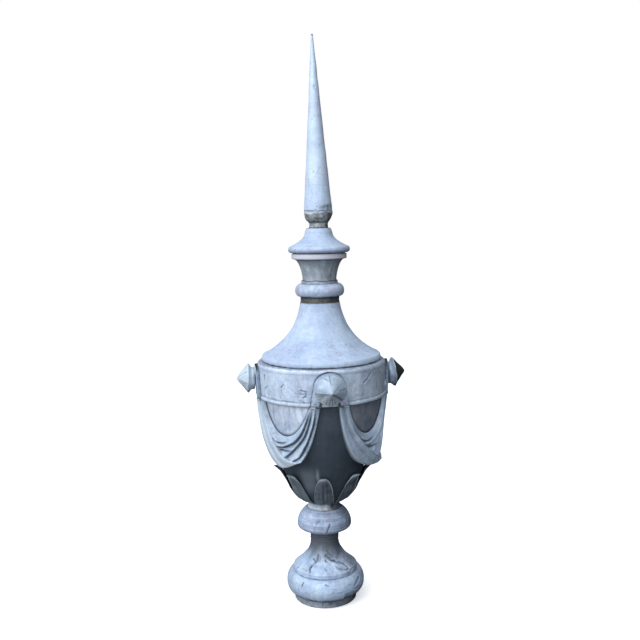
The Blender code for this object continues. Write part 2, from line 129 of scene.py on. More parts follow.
def carried(tree, name):
    """A value that a mesh carries at its points."""
    return add(tree, "ShaderNodeAttribute", {"attribute_name": name}).outputs["Fac"]


def show(name, data):
    thing = bpy.data.objects.new(name, data)
    bpy.context.scene.collection.objects.link(thing)
    return thing


print("mid zinc grey is", [round(c, 3) for c in linear("#a9bbd0")[:3]])

# %% [markdown]
# ## Light
# The real light is an overcast sky seen past something dark on the right: soft, cool, high and
# from the left. The world is therefore bright in one direction and fades to almost nothing on the
# other side and below the horizon, because the ground was dark too. One large soft lamp gives the
# sheet its gentle highlights. The camera itself sees a plain white wall.

# %% World and lamp
SKY_FROM = Vector((-0.46, -0.60, 0.65)).normalized()
LAMP_AIM, LAMP_AWAY = Vector((0, 0, 1.1)), 3.6

world = bpy.data.worlds.new("soft_sky")
world.use_nodes = True
sky = world.node_tree
sky.nodes.clear()
ray = add(sky, "ShaderNodeTexCoord").outputs["Generated"]
towards = add(sky, "ShaderNodeVectorMath", {"operation": "DOT_PRODUCT"}, ray, SKY_FROM).outputs["Value"]
strength = ramp(sky, towards, -0.5, 1.0, 0.02, 1.6, "SMOOTHSTEP")
up = add(sky, "ShaderNodeSeparateXYZ", None, ray).outputs["Z"]
above_ground = maths(sky, "MULTIPLY", strength, ramp(sky, up, -0.6, 0.1, 0.2, 1.0, "SMOOTHSTEP"))
lit = add(sky, "ShaderNodeBackground", None, linear("#f0f4fa"), above_ground).outputs[0]
wall = add(sky, "ShaderNodeBackground", None, linear("#ffffff"), 1.0).outputs[0]
seen = add(sky, "ShaderNodeLightPath").outputs["Is Camera Ray"]
mixed = add(sky, "ShaderNodeMixShader", None, seen, lit, wall).outputs[0]
add(sky, "ShaderNodeOutputWorld", None, mixed)
bpy.context.scene.world = world

lamp_data = bpy.data.lights.new("soft_lamp", "AREA")
lamp_data.shape = "DISK"
lamp_data.size = 3.0
lamp_data.energy = 70
lamp_data.color = linear("#fafbff")[:3]
lamp = show("soft_lamp", lamp_data)
lamp.location = LAMP_AIM + SKY_FROM * LAMP_AWAY
lamp.rotation_euler = (-SKY_FROM).to_track_quat("-Z", "Y").to_euler()
print("lamp at", [round(v, 2) for v in lamp.location])

# %% [markdown]
# ## The floor
# A plain pale floor, so that the foot has something to stand on. It glows a little, to stay as
# pale as a sheet of paper, and it sends no light back up: the real ground was dark, and the
# underside of the urn is the darkest part of the picture.

# %% Floor
FLOOR_SIZE = 9.0
FLOOR_BELOW = 0.0004

shape = bmesh.new()
bmesh.ops.create_grid(shape, x_segments=8, y_segments=8, size=FLOOR_SIZE)
floor_mesh = bpy.data.meshes.new("floor")
shape.to_mesh(floor_mesh)
shape.free()
floor = show("floor", floor_mesh)
floor.location.z = -FLOOR_BELOW
floor.visible_diffuse = False
floor.visible_glossy = False
paper = bpy.data.materials.new("pale_paper_floor")
paper.use_nodes = True
paper_shader = paper.node_tree.nodes["Principled BSDF"]
paper_shader.inputs["Base Color"].default_value = linear("#f4f5f7")
paper_shader.inputs["Roughness"].default_value = 0.9
paper_shader.inputs["Emission Color"].default_value = linear("#ffffff")
paper_shader.inputs["Emission Strength"].default_value = 0.42
floor_mesh.materials.append(paper)
print("floor is", 2 * FLOOR_SIZE, "m wide")

# %% [markdown]
# ## Weathered zinc
# Bare zinc turns from bright metal to a matt skin of zinc carbonate, pale and cool like chalk on
# slate. The eye reads it by its clouds: palm-sized patches of paler and bluer grey, faint lilac
# stains, thin runs left by rain, fine rings where the spinning tool pressed, and a crazing of
# winding lines that dirt has crept into. All the patterns are noise with a real size in
# millimetres. Each mesh carries a grime value at its points, and the material darkens there: dirt
# where the sheet is creased or soldered, and painted shade in hollows, in gaps and on sides turned
# from the light. A worn value pales the colour in the same way: real wear, and painted highlights
# on edges and on lit sides.
#
# The skin is mineral rather than metal, so the finish is only partly metallic and quite rough.


# %% A function for weathered zinc
def weathered_zinc(name, pale, deep, stain="#b4b2c9", dirt_and_shade="#20262c", clouds=90, runs=0.14, rings=0.08,
                   specks=0.24, crazing=0.5, highlight="#e4eef8", roughness=0.62, metallic=0.25, bump=0.5):
    """The colours are hex; clouds is a patch's size in mm; the rest are strengths."""
    material = bpy.data.materials.new(name)
    material.use_nodes = True
    tree = material.node_tree
    shader = tree.nodes["Principled BSDF"]
    place = add(tree, "ShaderNodeTexCoord").outputs["Object"]

    cloud = patches(tree, place, clouds, Detail=6.0, Roughness=0.62)
    tint = patches(tree, place, clouds * 0.8, settings={"noise_dimensions": "4D"}, W=3.0, Detail=4.0)
    colour = mix(tree, ramp(tree, cloud, 0.36, 0.66), pale, deep)
    colour = mix(tree, ramp(tree, tint, 0.52, 0.72, 0.0, 0.55), colour, stain)

    # Rain runs are about 16 mm wide and 6 times as long; ring marks are 6 mm apart, coarse enough to show.
    run = patches(tree, place, 16, (1.0, 1.0, 0.16), Detail=5.0, Roughness=0.6)
    ring = patches(tree, place, 6, (0.03, 0.03, 1.0), Detail=3.0)
    speck = patches(tree, place, 11, Detail=5.0, Roughness=0.72, Distortion=0.6)
    for pattern, share in ((run, runs), (ring, rings), (speck, specks)):
        colour = mix(tree, 1.0, colour, ramp(tree, pattern, 0.35, 0.7, 1 + share * 0.25, 1 - share), "MULTIPLY")

    # The crazing lies where a noise crosses its middle, and it is broken up by the stains.
    craze = patches(tree, place, 60, Detail=5.0, Roughness=0.66, Distortion=0.5)
    off_middle = maths(tree, "ABSOLUTE", maths(tree, "SUBTRACT", craze, 0.5))
    line = ramp(tree, off_middle, 0.0, 0.011, crazing, 0.0)
    colour = mix(tree, maths(tree, "MULTIPLY", line, ramp(tree, tint, 0.47, 0.56)), colour, dirt_and_shade)
    colour = mix(tree, ramp(tree, speck, 0.60, 0.74, 0.0, crazing), colour, highlight)

    # The worn value pales the colour: real wear, and painted highlights on edges and lit sides.
    colour = mix(tree, carried(tree, "wear_and_highlight"), colour, "#cfdce6")
    # The grime value darkens towards the dirt colour: dirt, and painted shade.
    crumbs = maths(tree, "MULTIPLY_ADD", speck, 0.9, 0.55)
    dirt_and_shade_share = add(tree, "ShaderNodeMath", {"operation": "MULTIPLY", "use_clamp": True},
                carried(tree, "grime_and_shade"), crumbs).outputs[0]
    tree.links.new(mix(tree, dirt_and_shade_share, colour, dirt_and_shade), shader.inputs["Base Color"])

    rough = ramp(tree, cloud, 0.3, 0.7, roughness - 0.08, roughness + 0.1)
    tree.links.new(rough, shader.inputs["Roughness"])
    shader.inputs["Metallic"].default_value = metallic
    grain = maths(tree, "ADD", speck, ring)
    relief = add(tree, "ShaderNodeBump", Height=grain, Strength=bump, Distance=0.0012).outputs[0]
    tree.links.new(relief, shader.inputs["Normal"])
    return material


pale_zinc = weathered_zinc("pale_weathered_zinc", "#cbdff4", "#adc5e3")
print("finish:", pale_zinc.name)

# %% [markdown]
# ## Turned pieces
# Fourteen of the pieces are round. On the lathe, a disc of zinc is pressed over a wooden former as
# it spins; here a profile of (radius, height) points is spun about the Z axis with the spin
# operator, which makes the same kind of skin. The smooth stretches are cubic curves that lean
# towards two handles, and each profile is cut into steps of a few millimetres, so that dents and
# dirt have points to sit on.


# %% Profiles and spinning
def level_of(node):
    """(low, height) of a CAD node."""
    low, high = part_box(node)
    return low.z, high.z - low.z


def curve(start, pulls, end, steps=16):
    points = []
    for step in range(1, steps + 1):
        t = step / steps
        weights = ((1 - t) ** 3, 3 * t * (1 - t) ** 2, 3 * t * t * (1 - t), t**3)
        points.append(tuple(sum(w * p[i] for w, p in zip(weights, (start, *pulls, end))) for i in (0, 1)))
    return points


def roll(start, end, widest, level=0.5, steps=12):
    """A round moulding between two points of a profile, widest at a share of its height."""
    middle = start[1] + (end[1] - start[1]) * level
    below = [(start[0] + (widest - start[0]) * sin(a), start[1] + (middle - start[1]) * (1 - cos(a)))
             for a in (pi / 2 * i / steps for i in range(1, steps + 1))]
    above = [(end[0] + (widest - end[0]) * cos(a), middle + (end[1] - middle) * sin(a))
             for a in (pi / 2 * i / steps for i in range(1, steps + 1))]
    return below + above


def finely(profile, step):
    """The same profile with points added, so that no stretch is much longer than step."""
    points = [profile[0]]
    for (r0, z0), (r1, z1) in zip(profile, profile[1:]):
        pieces = max(1, round(hypot(r1 - r0, z1 - z0) / step))
        points += [(r0 + (r1 - r0) * i / pieces, z0 + (z1 - z0) * i / pieces) for i in range(1, pieces + 1)]
    return points


def spin_profile(profile, sides=256, step=0.003, height=0.0, closed=False):
    shape = bmesh.new()
    shape.verts.layers.float.new("grime_and_shade")
    shape.verts.layers.float.new("wear_and_highlight")
    wall = profile if closed else profile[1:-1]
    fine = finely(wall + wall[:1] if closed else wall, step)
    points = fine[:-1] if closed else [profile[0]] + fine + [profile[-1]]
    verts = [shape.verts.new((r, 0, z + height)) for r, z in points]
    for first, second in zip(verts, verts[1:] + verts[:1] if closed else verts[1:]):
        shape.edges.new((first, second))
    bmesh.ops.spin(
        shape, geom=shape.verts[:] + shape.edges[:], cent=(0, 0, 0), axis=(0, 0, 1),
        angle=2 * pi, steps=sides, use_merge=True,
    )
    bmesh.ops.remove_doubles(shape, verts=shape.verts, dist=1e-6)
    bmesh.ops.recalc_face_normals(shape, faces=shape.faces)
    return shape


# %% [markdown]
# ## Age
# Nothing on a roof for a century stays round. Four small tools work on a piece: one bends the sheet
# in and out by a millimetre or two, one lays jagged dirt along a soldered seam, one paints shade on
# one side of the round, with some stain, or paints light there on the worn value, and one scores
# lines. A scored line is given by its place on the wall, as degrees round from the front and
# millimetres up. The last function spins a piece and uses all four.


# %% Ageing tools
# How many waves of noise a metre holds, for each use; then degrees round; then a raised lip's share of a score's depth.
SEAM_WAVES, SIDE_WAVES, BLOTCH_WAVES, SCORE_WAVES, CRUMB_WAVES = 45, 40, 22, 120, 70
SIDE_WANDER, FADE_END, FADE_WIDTH = 12, 150, 35
LIP = 0.45


def warp(shape, amount, size, seed):
    """Bends the sheet in and out by up to amount, in waves of about size, both in metres."""
    offset = Vector((seed, seed * 1.7, 0))
    for vert in shape.verts:
        reach = hypot(vert.co.x, vert.co.y)
        if reach > 1e-4:
            push = amount * noise.noise(vert.co / size + offset)
            vert.co.x *= 1 + push / reach
            vert.co.y *= 1 + push / reach


def on_wall(azimuth, radius, height):
    """A point at an azimuth in radians, 0 at the front and growing to the right."""
    return Vector((radius * sin(azimuth), -radius * cos(azimuth), height))


def azimuth_of(point):
    """The azimuth in degrees of a point."""
    return degrees(atan2(point.x, -point.y))


def radius_of(profile, height):
    for (r0, z0), (r1, z1) in zip(profile, profile[1:]):
        if min(z0, z1) <= height <= max(z0, z1) and abs(z1 - z0) > 1e-7:
            return r0 + (r1 - r0) * (height - z0) / (z1 - z0)
    return profile[-1][0]


def soil_seam(shape, height, reach=0.004, strength=0.85, wander=0.003, sides=None):
    """Jagged dirt along a level; sides, in degrees from and to, keeps it to a part of the round."""
    layer = shape.verts.layers.float["grime_and_shade"]
    for vert in shape.verts:
        if abs(vert.co.z - height) > reach + wander:
            continue
        if sides and not sides[0] < azimuth_of(vert.co) < sides[1]:
            continue
        shift = wander * noise.noise(vert.co * SEAM_WAVES)
        fade = 1 - abs(vert.co.z - height - shift) / reach
        vert[layer] = max(vert[layer], strength * max(0.0, fade) ** 0.6)


def paint_side_shade_and_light(shape, start, full, strength, value="grime_and_shade"):
    """Blotchy painted shade, partly stain, or on the worn value painted light, that grows between two azimuths in
    degrees and fades out towards the back.
    """
    layer = shape.verts.layers.float[value]
    for vert in shape.verts:
        azimuth = azimuth_of(vert.co) + SIDE_WANDER * noise.noise(vert.co * SIDE_WAVES)
        fade = (FADE_END - abs(azimuth)) / FADE_WIDTH
        share = max(0.0, min(1.0, (azimuth - start) / (full - start), fade))
        blotchy = 0.8 + 0.6 * noise.noise(vert.co * BLOTCH_WAVES + Vector((4, 0, 0)))
        vert[layer] = max(vert[layer], strength * share * min(blotchy, 1.0))


def to_segment(point, a, b):
    along = b - a
    share = max(0.0, min(1.0, (point - a).dot(along) / max(along.length_squared, 1e-12)))
    return (point - a - along * share).length


def score(shape, profile, marks, height=0.0):
    """marks: (list of (degrees, mm up), width in mm, depth in mm, dirt and shade in the groove from 0 to 1)."""
    layer = shape.verts.layers.float["grime_and_shade"]
    for places, width, depth, dirt_and_shade in marks:
        path = [on_wall(radians(a), radius_of(profile, z / 1000 - height), z / 1000) for a, z in places]
        path = path if len(path) > 1 else path * 2
        reach = width / 1000
        low = min(p.z for p in path) - 2 * reach
        high = max(p.z for p in path) + 2 * reach
        for vert in shape.verts:
            if not low < vert.co.z < high:
                continue
            away = min(to_segment(vert.co, a, b) for a, b in zip(path, path[1:]))
            away += reach * 0.35 * noise.noise(vert.co * SCORE_WAVES)
            if away < 2 * reach:
                bite = exp(-((max(away, 0.0) / reach) ** 2) * 2)
                uneven = 0.8 + 0.5 * noise.noise(vert.co * CRUMB_WAVES + Vector((9, 0, 0)))
                vert[layer] = max(vert[layer], min(dirt_and_shade * uneven * bite, 1.0))
                lip = LIP * exp(-(((away - 1.5 * reach) / (0.5 * reach)) ** 2))
                inward = depth / 1000 * (bite - lip) / max(hypot(vert.co.x, vert.co.y), 1e-3)
                vert.co.x *= 1 - inward
                vert.co.y *= 1 - inward


def age(shape, wall, height, bend, marks=(), seams=(), soiled=()):
    """bend, each seam and each shaded or lit side hold what their tools take; seams are given above height."""
    warp(shape, *bend)
    score(shape, wall, marks, height)
    for level, *rest in seams:
        soil_seam(shape, height + level, *rest)
    for side in soiled:
        paint_side_shade_and_light(shape, *side)


def turned(profile, height, sides, step, *ageing, **more_ageing):
    """A round piece, spun from its profile and then aged."""
    shape = spin_profile(profile, sides, step, height)
    age(shape, profile[1:-1], height, *ageing, **more_ageing)
    return shape


# %% [markdown]
# ## Placing a finished piece
# Each mesh is cleaned, its faces are turned outwards, and it is shaded smooth but for sharp
# corners. It rides on the frame's one body and stands for its CAD node.


# %% Finishing a piece
def finish(shape, node, material, sharp=40):
    bmesh.ops.remove_doubles(shape, verts=shape.verts, dist=1e-6)
    bmesh.ops.recalc_face_normals(shape, faces=shape.faces)
    mesh = bpy.data.meshes.new(node + "_sheet")
    shape.to_mesh(mesh)
    shape.free()
    mesh.materials.append(material)
    mesh.shade_smooth()
    mesh.set_sharp_from_angle(angle=radians(sharp))
    piece = show(node + "_sheet", mesh)
    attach(piece, "root")
    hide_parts(node)
    print(f"{piece.name}: {sum(len(p.vertices) - 2 for p in mesh.polygons)} triangles")
    return piece


# %% [markdown]
# ## The foot's rim and its round moulding
# The finial stands on a plain hoop, cut from a strip and closed with a soldered patch at the front.
# A heavy half-round moulding sits on it. The hoop is greyer than anything above it: partly dirt,
# thickest where rain splashes up, and partly painted shade under the moulding's overhang.

# %% Foot rim
RIM_RADIUS, RIM_INSIDE, RIM_ROUND = 0.1238, 0.094, 0.001
rim_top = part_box("foot_rim")[1].z
splashed_and_shaded_zinc = weathered_zinc("splashed_and_shaded_zinc", "#b7c3d0", "#7b8490", stain="#8d8b98", clouds=45, runs=0.25,
                               specks=0.4)
rim_profile = [
    (RIM_INSIDE, 0.0), (RIM_RADIUS - RIM_ROUND, 0.0), (RIM_RADIUS, RIM_ROUND),
    (RIM_RADIUS, rim_top - RIM_ROUND), (RIM_RADIUS - RIM_ROUND, rim_top), (RIM_INSIDE, rim_top),
]
rim = spin_profile(rim_profile, closed=True)
# The hoop's top takes the painted shadow of the moulding above, and its right side painted shade.
age(rim, rim_profile[1:5], 0.0, (0.0008, 0.07, 1.0), [
    ([(-5.7, 29), (-5.1, 1)], 1.6, 0.8, 0.9), ([(10.1, 29), (10.7, 1)], 1.6, 0.8, 0.9),
    ([(-40, 20), (-30, 4)], 2.5, 0.6, 0.5), ([(-62, 12), (-50, 3)], 3.0, 0.5, 0.5),
    ([(28, 6), (55, 9)], 3.0, 0.4, 0.6), ([(100, 25), (101, 2)], 1.5, 0.8, 0.8),
], seams=[(rim_top, 0.006, 0.9), (0.0, 0.004, 0.6)], soiled=[(10, 50, 0.9)])
finish(rim, "foot_rim", splashed_and_shaded_zinc)

# %% Base moulding
base_low, base_height = level_of("base_moulding")
BASE_RADIUS = 0.1553
foot = (RIM_RADIUS + 0.002, 0.0)
base_profile = [(0, 0), foot] + roll(foot, (0.1275, base_height), BASE_RADIUS, 0.48) + [(0, base_height)]
# The right side gets painted shade, partly a purple-grey stain; the left is darkened a little.
base = turned(base_profile, base_low, 288, 0.003, (0.0016, 0.09, 2.0), [
    ([(-37.8, 91), (-36.1, 105)], 3.8, 1.7, 0.96), ([(-0.5, 107), (2, 104), (4.5, 101.5)], 3.1, 1.2, 0.90),
    ([(49, 84), (56, 92), (62.6, 101)], 6.6, 2.2, 0.90), ([(60, 56), (75, 62)], 7.2, 1.7, 0.72),
    ([(-58, 60), (-44, 54)], 3.0, 1.0, 0.42), ([(14, 88), (33, 84)], 2.2, 0.6, 0.42),
    ([(20, 70), (44, 66)], 2.4, 0.6, 0.42), ([(-20, 78), (6, 74)], 1.8, 0.5, 0.30),
    ([(36, 96), (50, 78)], 3.6, 1.0, 0.48), ([(160, 90), (175, 80), (190, 84)], 3.6, 1.2, 0.60),
    ([(250, 70), (262, 90)], 3.6, 1.2, 0.60), ([(10, 76), (22, 72), (36, 76)], 3.0, 0.9, 0.45),
    ([(46, 72), (60, 70)], 6.0, 1.2, 0.70), ([(30, 62), (48, 58), (64, 62)], 5.0, 1.0, 0.60),
    ([(52, 108), (60, 112), (68, 108)], 4.0, 1.2, 0.60),
], seams=[(0.003, 0.012, 0.7, 0.006), (0.012, 0.022, 0.8, 0.008, (28, 160))],
    soiled=[(35, 80, 0.45), (-25, -70, 0.14)])
finish(base, "base_moulding", pale_zinc)

# %% [markdown]
# ## The flared stem
# The stem flares to a thin upright edge and narrows to a neck with two fine rings. It took knocks
# when it came off the roof: three deep creases run down the front of the flare, and the sheet
# between them is dished. Above them the skin is stained grey-brown, and below it is pale, so this
# piece has a finish of its own that changes colour with height.

# %% Stem
stem_low, stem_height = level_of("flared_stem")
STEM_EDGE, STEM_EDGE_TOP, STEM_NECK = 0.1263, 0.019, 0.0555
STEM_RINGS = (0.128, 0.137, 0.146)
stem_profile = [(0, 0), (STEM_EDGE - 0.001, 0.0), (STEM_EDGE, 0.001), (STEM_EDGE, STEM_EDGE_TOP - 0.001)]
stem_profile += [(STEM_EDGE - 0.0008, STEM_EDGE_TOP), (STEM_EDGE - 0.003, STEM_EDGE_TOP + 0.002)]
stem_profile += curve(stem_profile[-1], ((0.0904, 0.047), (STEM_NECK, 0.079)), (STEM_NECK, 0.122), 24)
for level in STEM_RINGS:
    stem_profile += [(STEM_NECK, level - 0.003), (STEM_NECK + 0.0018, level), (STEM_NECK, level + 0.003)]
stem_profile += [(STEM_NECK, stem_height), (0, stem_height)]
stem_seams = [(0.0, 0.004, 0.8), (stem_height, 0.016, 1.0, 0.005)]
stem_seams += [(level + 0.004, 0.0028, 0.75, 0.001) for level in STEM_RINGS]
# The right side gets painted shade, partly a purple-grey stain.
stem = turned(stem_profile, stem_low, 256, 0.0026, (0.0022, 0.035, 3.0), [
    ([(3.3, 192), (16.5, 177), (32.9, 166), (47, 157), (51, 147), (49, 141)], 5.0, 4.4, 1.00),
    ([(-22.6, 192), (-21.5, 174), (-29, 164), (-33, 156), (-33.6, 147), (-29.8, 138)], 4.6, 4.2, 1.00),
    ([(-36, 178), (-24, 170)], 3.8, 2.1, 1.00), ([(26.3, 154), (33, 145.5), (44, 139), (50, 140)], 6.0, 4.2, 1.00),
    ([(10, 205), (24, 190), (40, 178)], 6.0, 2.0, 0.57), ([(-40, 160), (-10, 158), (20, 156)], 10.8, 2.6, 0.11),
    ([(0.5, 178), (1.5, 172), (5, 173)], 2.9, 1.3, 0.92), ([(-1.7, 154), (3.1, 147)], 2.3, 1.0, 0.86),
    ([(-64, 139)], 3.8, 1.0, 1.00), ([(46, 121), (52, 134)], 5.4, 1.3, 0.86),
    ([(-10, 196), (-4, 188)], 2.6, 1.0, 0.57), ([(-50, 144), (-36, 139)], 2.2, 0.8, 0.57),
    ([(60, 175), (66, 150), (70, 140)], 4.2, 1.6, 0.69), ([(-70, 150), (-60, 137)], 2.4, 0.7, 0.46),
    ([(150, 175), (160, 155), (171, 150)], 3.6, 2.3, 0.92), ([(205, 165), (215, 150)], 3.1, 1.8, 0.80),
    ([(262, 180), (258, 150)], 3.1, 1.8, 0.80), ([(12, 186), (22, 182), (30, 172)], 3.2, 1.6, 0.60),
    ([(36, 170), (42, 160), (56, 152)], 3.6, 2.0, 0.80), ([(44, 133), (58, 136), (70, 133)], 5.0, 1.6, 0.90),
    ([(-14, 184), (-12, 170)], 2.4, 1.0, 0.50), ([(18, 204), (12, 192), (-4, 200)], 2.6, 1.0, 0.45),
    ([(56, 168), (62, 156)], 3.2, 1.2, 0.60),
], stem_seams, soiled=[(20, 70, 0.5)])

# %% [markdown]
# The stain is the zinc finish once more, with a second, darker coat above a wandering level. The
# level is height plus noise, turned into a mask between two heights.


# %% Two-tone zinc
def two_tone(material, colour, start, end, ragged=0.03):
    """Adds a coat of colour that comes in between the heights start and end."""
    tree = material.node_tree
    shader = tree.nodes["Principled BSDF"]
    under = shader.inputs["Base Color"].links[0].from_socket
    place = add(tree, "ShaderNodeTexCoord").outputs["Object"]
    height = add(tree, "ShaderNodeSeparateXYZ", None, place).outputs["Z"]
    edge = patches(tree, place, 28, (1.0, 1.0, 0.25), Detail=5.0)
    ragged_height = maths(tree, "MULTIPLY_ADD", edge, ragged * 2, height)
    mask = ramp(tree, ragged_height, start + ragged, end + ragged, 0.0, 0.92, "SMOOTHSTEP")
    tree.links.new(mix(tree, mask, under, colour), shader.inputs["Base Color"])
    return material


stem_zinc = two_tone(weathered_zinc("stem_zinc", "#c8dcf3", "#a8bedb"), "#4d535b", 0.157, 0.225)
finish(stem, "flared_stem", stem_zinc)

# %% [markdown]
# ## The knop and the collar
# A round knop with an almost flat underside, brushed by the lathe tool, and a short waisted collar
# under the bowl. Two old scratches cross the knop.

# %% Knop
knop_low, knop_height = level_of("foot_knop")
KNOP_RADIUS = 0.1077
knop_profile = [(0, 0), (0.058, 0.0)]
knop_profile += curve((0.058, 0.0), ((0.099, -0.001), (KNOP_RADIUS, 0.004)), (KNOP_RADIUS, 0.020), 16)
knop_profile += curve((KNOP_RADIUS, 0.020), ((KNOP_RADIUS, 0.055), (0.080, 0.080)), (0.068, knop_height), 24)
knop_profile = [(r, max(z, 0.0)) for r, z in knop_profile + [(0, knop_height)]]
# The right side gets painted shade.
knop = turned(knop_profile, knop_low, 256, 0.003, (0.0012, 0.05, 4.0), [
    ([(-21.4, 312), (-16.6, 337), (-11.1, 344)], 2.9, 1.5, 1.00),
    ([(4.9, 300), (9.6, 322), (12.7, 334)], 4.3, 2.2, 1.00), ([(56, 310), (60, 333), (64, 345)], 7.2, 1.4, 0.62),
    ([(-56, 330), (-40, 334)], 1.9, 0.6, 0.50), ([(-30, 326), (-16, 325)], 1.7, 0.6, 0.44),
    ([(20, 340), (34, 342)], 1.7, 0.6, 0.44), ([(-62, 306), (-50, 312)], 3.1, 0.7, 0.50),
    ([(40, 306), (54, 316)], 4.8, 1.1, 0.56), ([(120, 315), (150, 325)], 2.9, 1.1, 0.62),
    ([(220, 340), (236, 310)], 2.9, 1.1, 0.62),
], seams=[(0.001, 0.003, 0.6)], soiled=[(30, 75, 0.75)])
brushed_zinc = weathered_zinc("lathe_brushed_zinc", "#c3d3ea", "#9fb1cf", stain="#a9a6c6", rings=0.35, clouds=60)
finish(knop, "foot_knop", brushed_zinc)

# %% Collar
collar_low, collar_height = level_of("collar")
collar_profile = [(0, 0), (0.0655, 0.0), (0.066, 0.004), (0.0625, 0.009)]
collar_profile += curve((0.0625, 0.009), ((0.061, 0.013), (0.061, 0.019)), (0.0665, collar_height), 10)
collar_profile += [(0, collar_height)]
# The right side gets the painted shadow of the bowl, and the left side painted light.
collar = turned(collar_profile, collar_low, 192, 0.002, (0.0010, 0.03, 5.0), [],
                seams=[(collar_height, 0.004, 0.8), (0.0, 0.003, 0.7)],
                soiled=[(0, 25, 0.95), (-10, -50, 0.8, "wear_and_highlight")])
collar_zinc = weathered_zinc("rain_streaked_zinc", "#e3ebf2", "#b3bec9", stain="#c9cbd4", runs=0.25, clouds=40)
finish(collar, "collar", collar_zinc)

# %% [markdown]
# ## The bowl
# An egg-shaped bowl hangs under the drum. Most of it is dark: partly a smooth slate-coloured skin
# that the drapery has sheltered from the rain, and partly painted shade, as it lies under the
# drapery and faces down. Inside the four loops of drapery, though, the sheet is as pale as the drum
# above. The split follows the drapery's inner edge, so the bowl's points carry a "pale" value, and
# the finish mixes two zincs by it.
#
# The drapery's own outline is needed first. Each swag is described by angles from the boss at its
# left end and drops below the drum: an inner edge, and an outer edge in two sweeps that meet in a
# low corner.

# %% Outline of a swag
FRONT_BOSS = radians(6.5)
CORNER_SHARE = 0.62
INNER_EDGE = [(18.0, 0.0), (27.0, 0.168), (60.0, 0.168), (72.5, 0.0)]
BAND_EDGE = [(8.0, 0.0), (12.0, 0.183), (30.0, 0.295), (64.0, 0.228)]
HANGING_EDGE = [(64.0, 0.228), (72.0, 0.173), (79.0, 0.083), (82.0, 0.0)]
drum_low, drum_height = level_of("drum")


def cubic(points, share):
    rest = 1 - share
    weights = (rest**3, 3 * share * rest**2, 3 * share**2 * rest, share**3)
    return tuple(sum(w * p[i] for w, p in zip(weights, points)) for i in (0, 1))


def across_swag(s, t):
    """(degrees from the left boss, drop): s runs from the left end to the right, t from inside to outside."""
    inner = cubic(INNER_EDGE, s)
    if s <= CORNER_SHARE:
        outer = cubic(BAND_EDGE, s / CORNER_SHARE)
    else:
        outer = cubic(HANGING_EDGE, (s - CORNER_SHARE) / (1 - CORNER_SHARE))
    return tuple(a + (b - a) * t for a, b in zip(inner, outer))


inner_edge = [cubic(INNER_EDGE, i / 60) for i in range(61)]
print("a loop hangs to", round(max(d for _, d in inner_edge) * 1000), "mm below the drum")

# %% Bowl
bowl_low, bowl_height = level_of("bowl")
bowl_wall = [(0.052, 0.0)] + curve((0.052, 0.0), ((0.108, 0.0), (0.130, 0.069)), (0.150, 0.115), 20)
bowl_wall += curve((0.150, 0.115), ((0.181, 0.176), (0.226, 0.300)), (0.235, bowl_height), 40)
bowl = turned([(0, 0)] + bowl_wall + [(0, bowl_height)], bowl_low, 288, 0.005, (0.0010, 0.2, 6.0))
bowl.verts.layers.float.new("pale")
pale_layer, bowl_shade, bowl_drip_and_light = (bowl.verts.layers.float[name] for name in ("pale", "grime_and_shade", "wear_and_highlight"))
# The pale sheet reaches a little under the drapery. A drip and a patch of painted light lie at azimuths in degrees.
PALE_BELOW, PALE_FADE = 0.012, 0.004
STREAK_LEVEL, DRIP_AT, DRIP_HALF, PATCH_AT, PATCH_HALF = 0.525, -6.5, 1.8, -21, 11
for vert in bowl.verts:
    azimuth = azimuth_of(vert.co)
    round_by = (azimuth - degrees(FRONT_BOSS)) % 90
    drop = drum_low - vert.co.z
    loop = next(((b0[1] + (b1[1] - b0[1]) * (round_by - b0[0]) / (b1[0] - b0[0]))
                 for b0, b1 in zip(inner_edge, inner_edge[1:]) if b0[0] <= round_by < b1[0]), -1.0)
    vert[pale_layer] = max(0.0, min(1.0, (loop + PALE_BELOW - drop) / PALE_FADE)) if drop > -0.001 else 0.0
    # Painted shade along the loop's edge, wide where the drapery's ends shade it, at the far left and right; and a
    # painted shadow line under the drum's edge.
    shade = 0.008 + (0.035 * max(0.0, 1 - drop / 0.10) if abs(azimuth) > 40 else 0.0)
    edge_shade = exp(-(((loop - drop) / shade) ** 2)) if loop > 0 else 0.0
    vert[bowl_shade] = max(0.9 * edge_shade * vert[pale_layer], 0.75 * exp(-((drop / 0.005) ** 2)))
    drip = 0.42 * exp(-(((azimuth - DRIP_AT + 2 * noise.noise(vert.co * 25)) / DRIP_HALF) ** 2))
    patch = 0.20 * exp(-(((azimuth - PATCH_AT) / PATCH_HALF) ** 4))
    vert[bowl_drip_and_light] = (drip + patch) * exp(-(((vert.co.z - STREAK_LEVEL) / 0.05) ** 4))

# %% [markdown]
# Slate-dark zinc is an older, smoother skin, washed by little rain; here its darkness also stands
# in for the shade under the drapery. It is nearly black-blue with soft vertical clouds, a pale run
# under the left swag where water has dripped, and a patch of painted light near it.


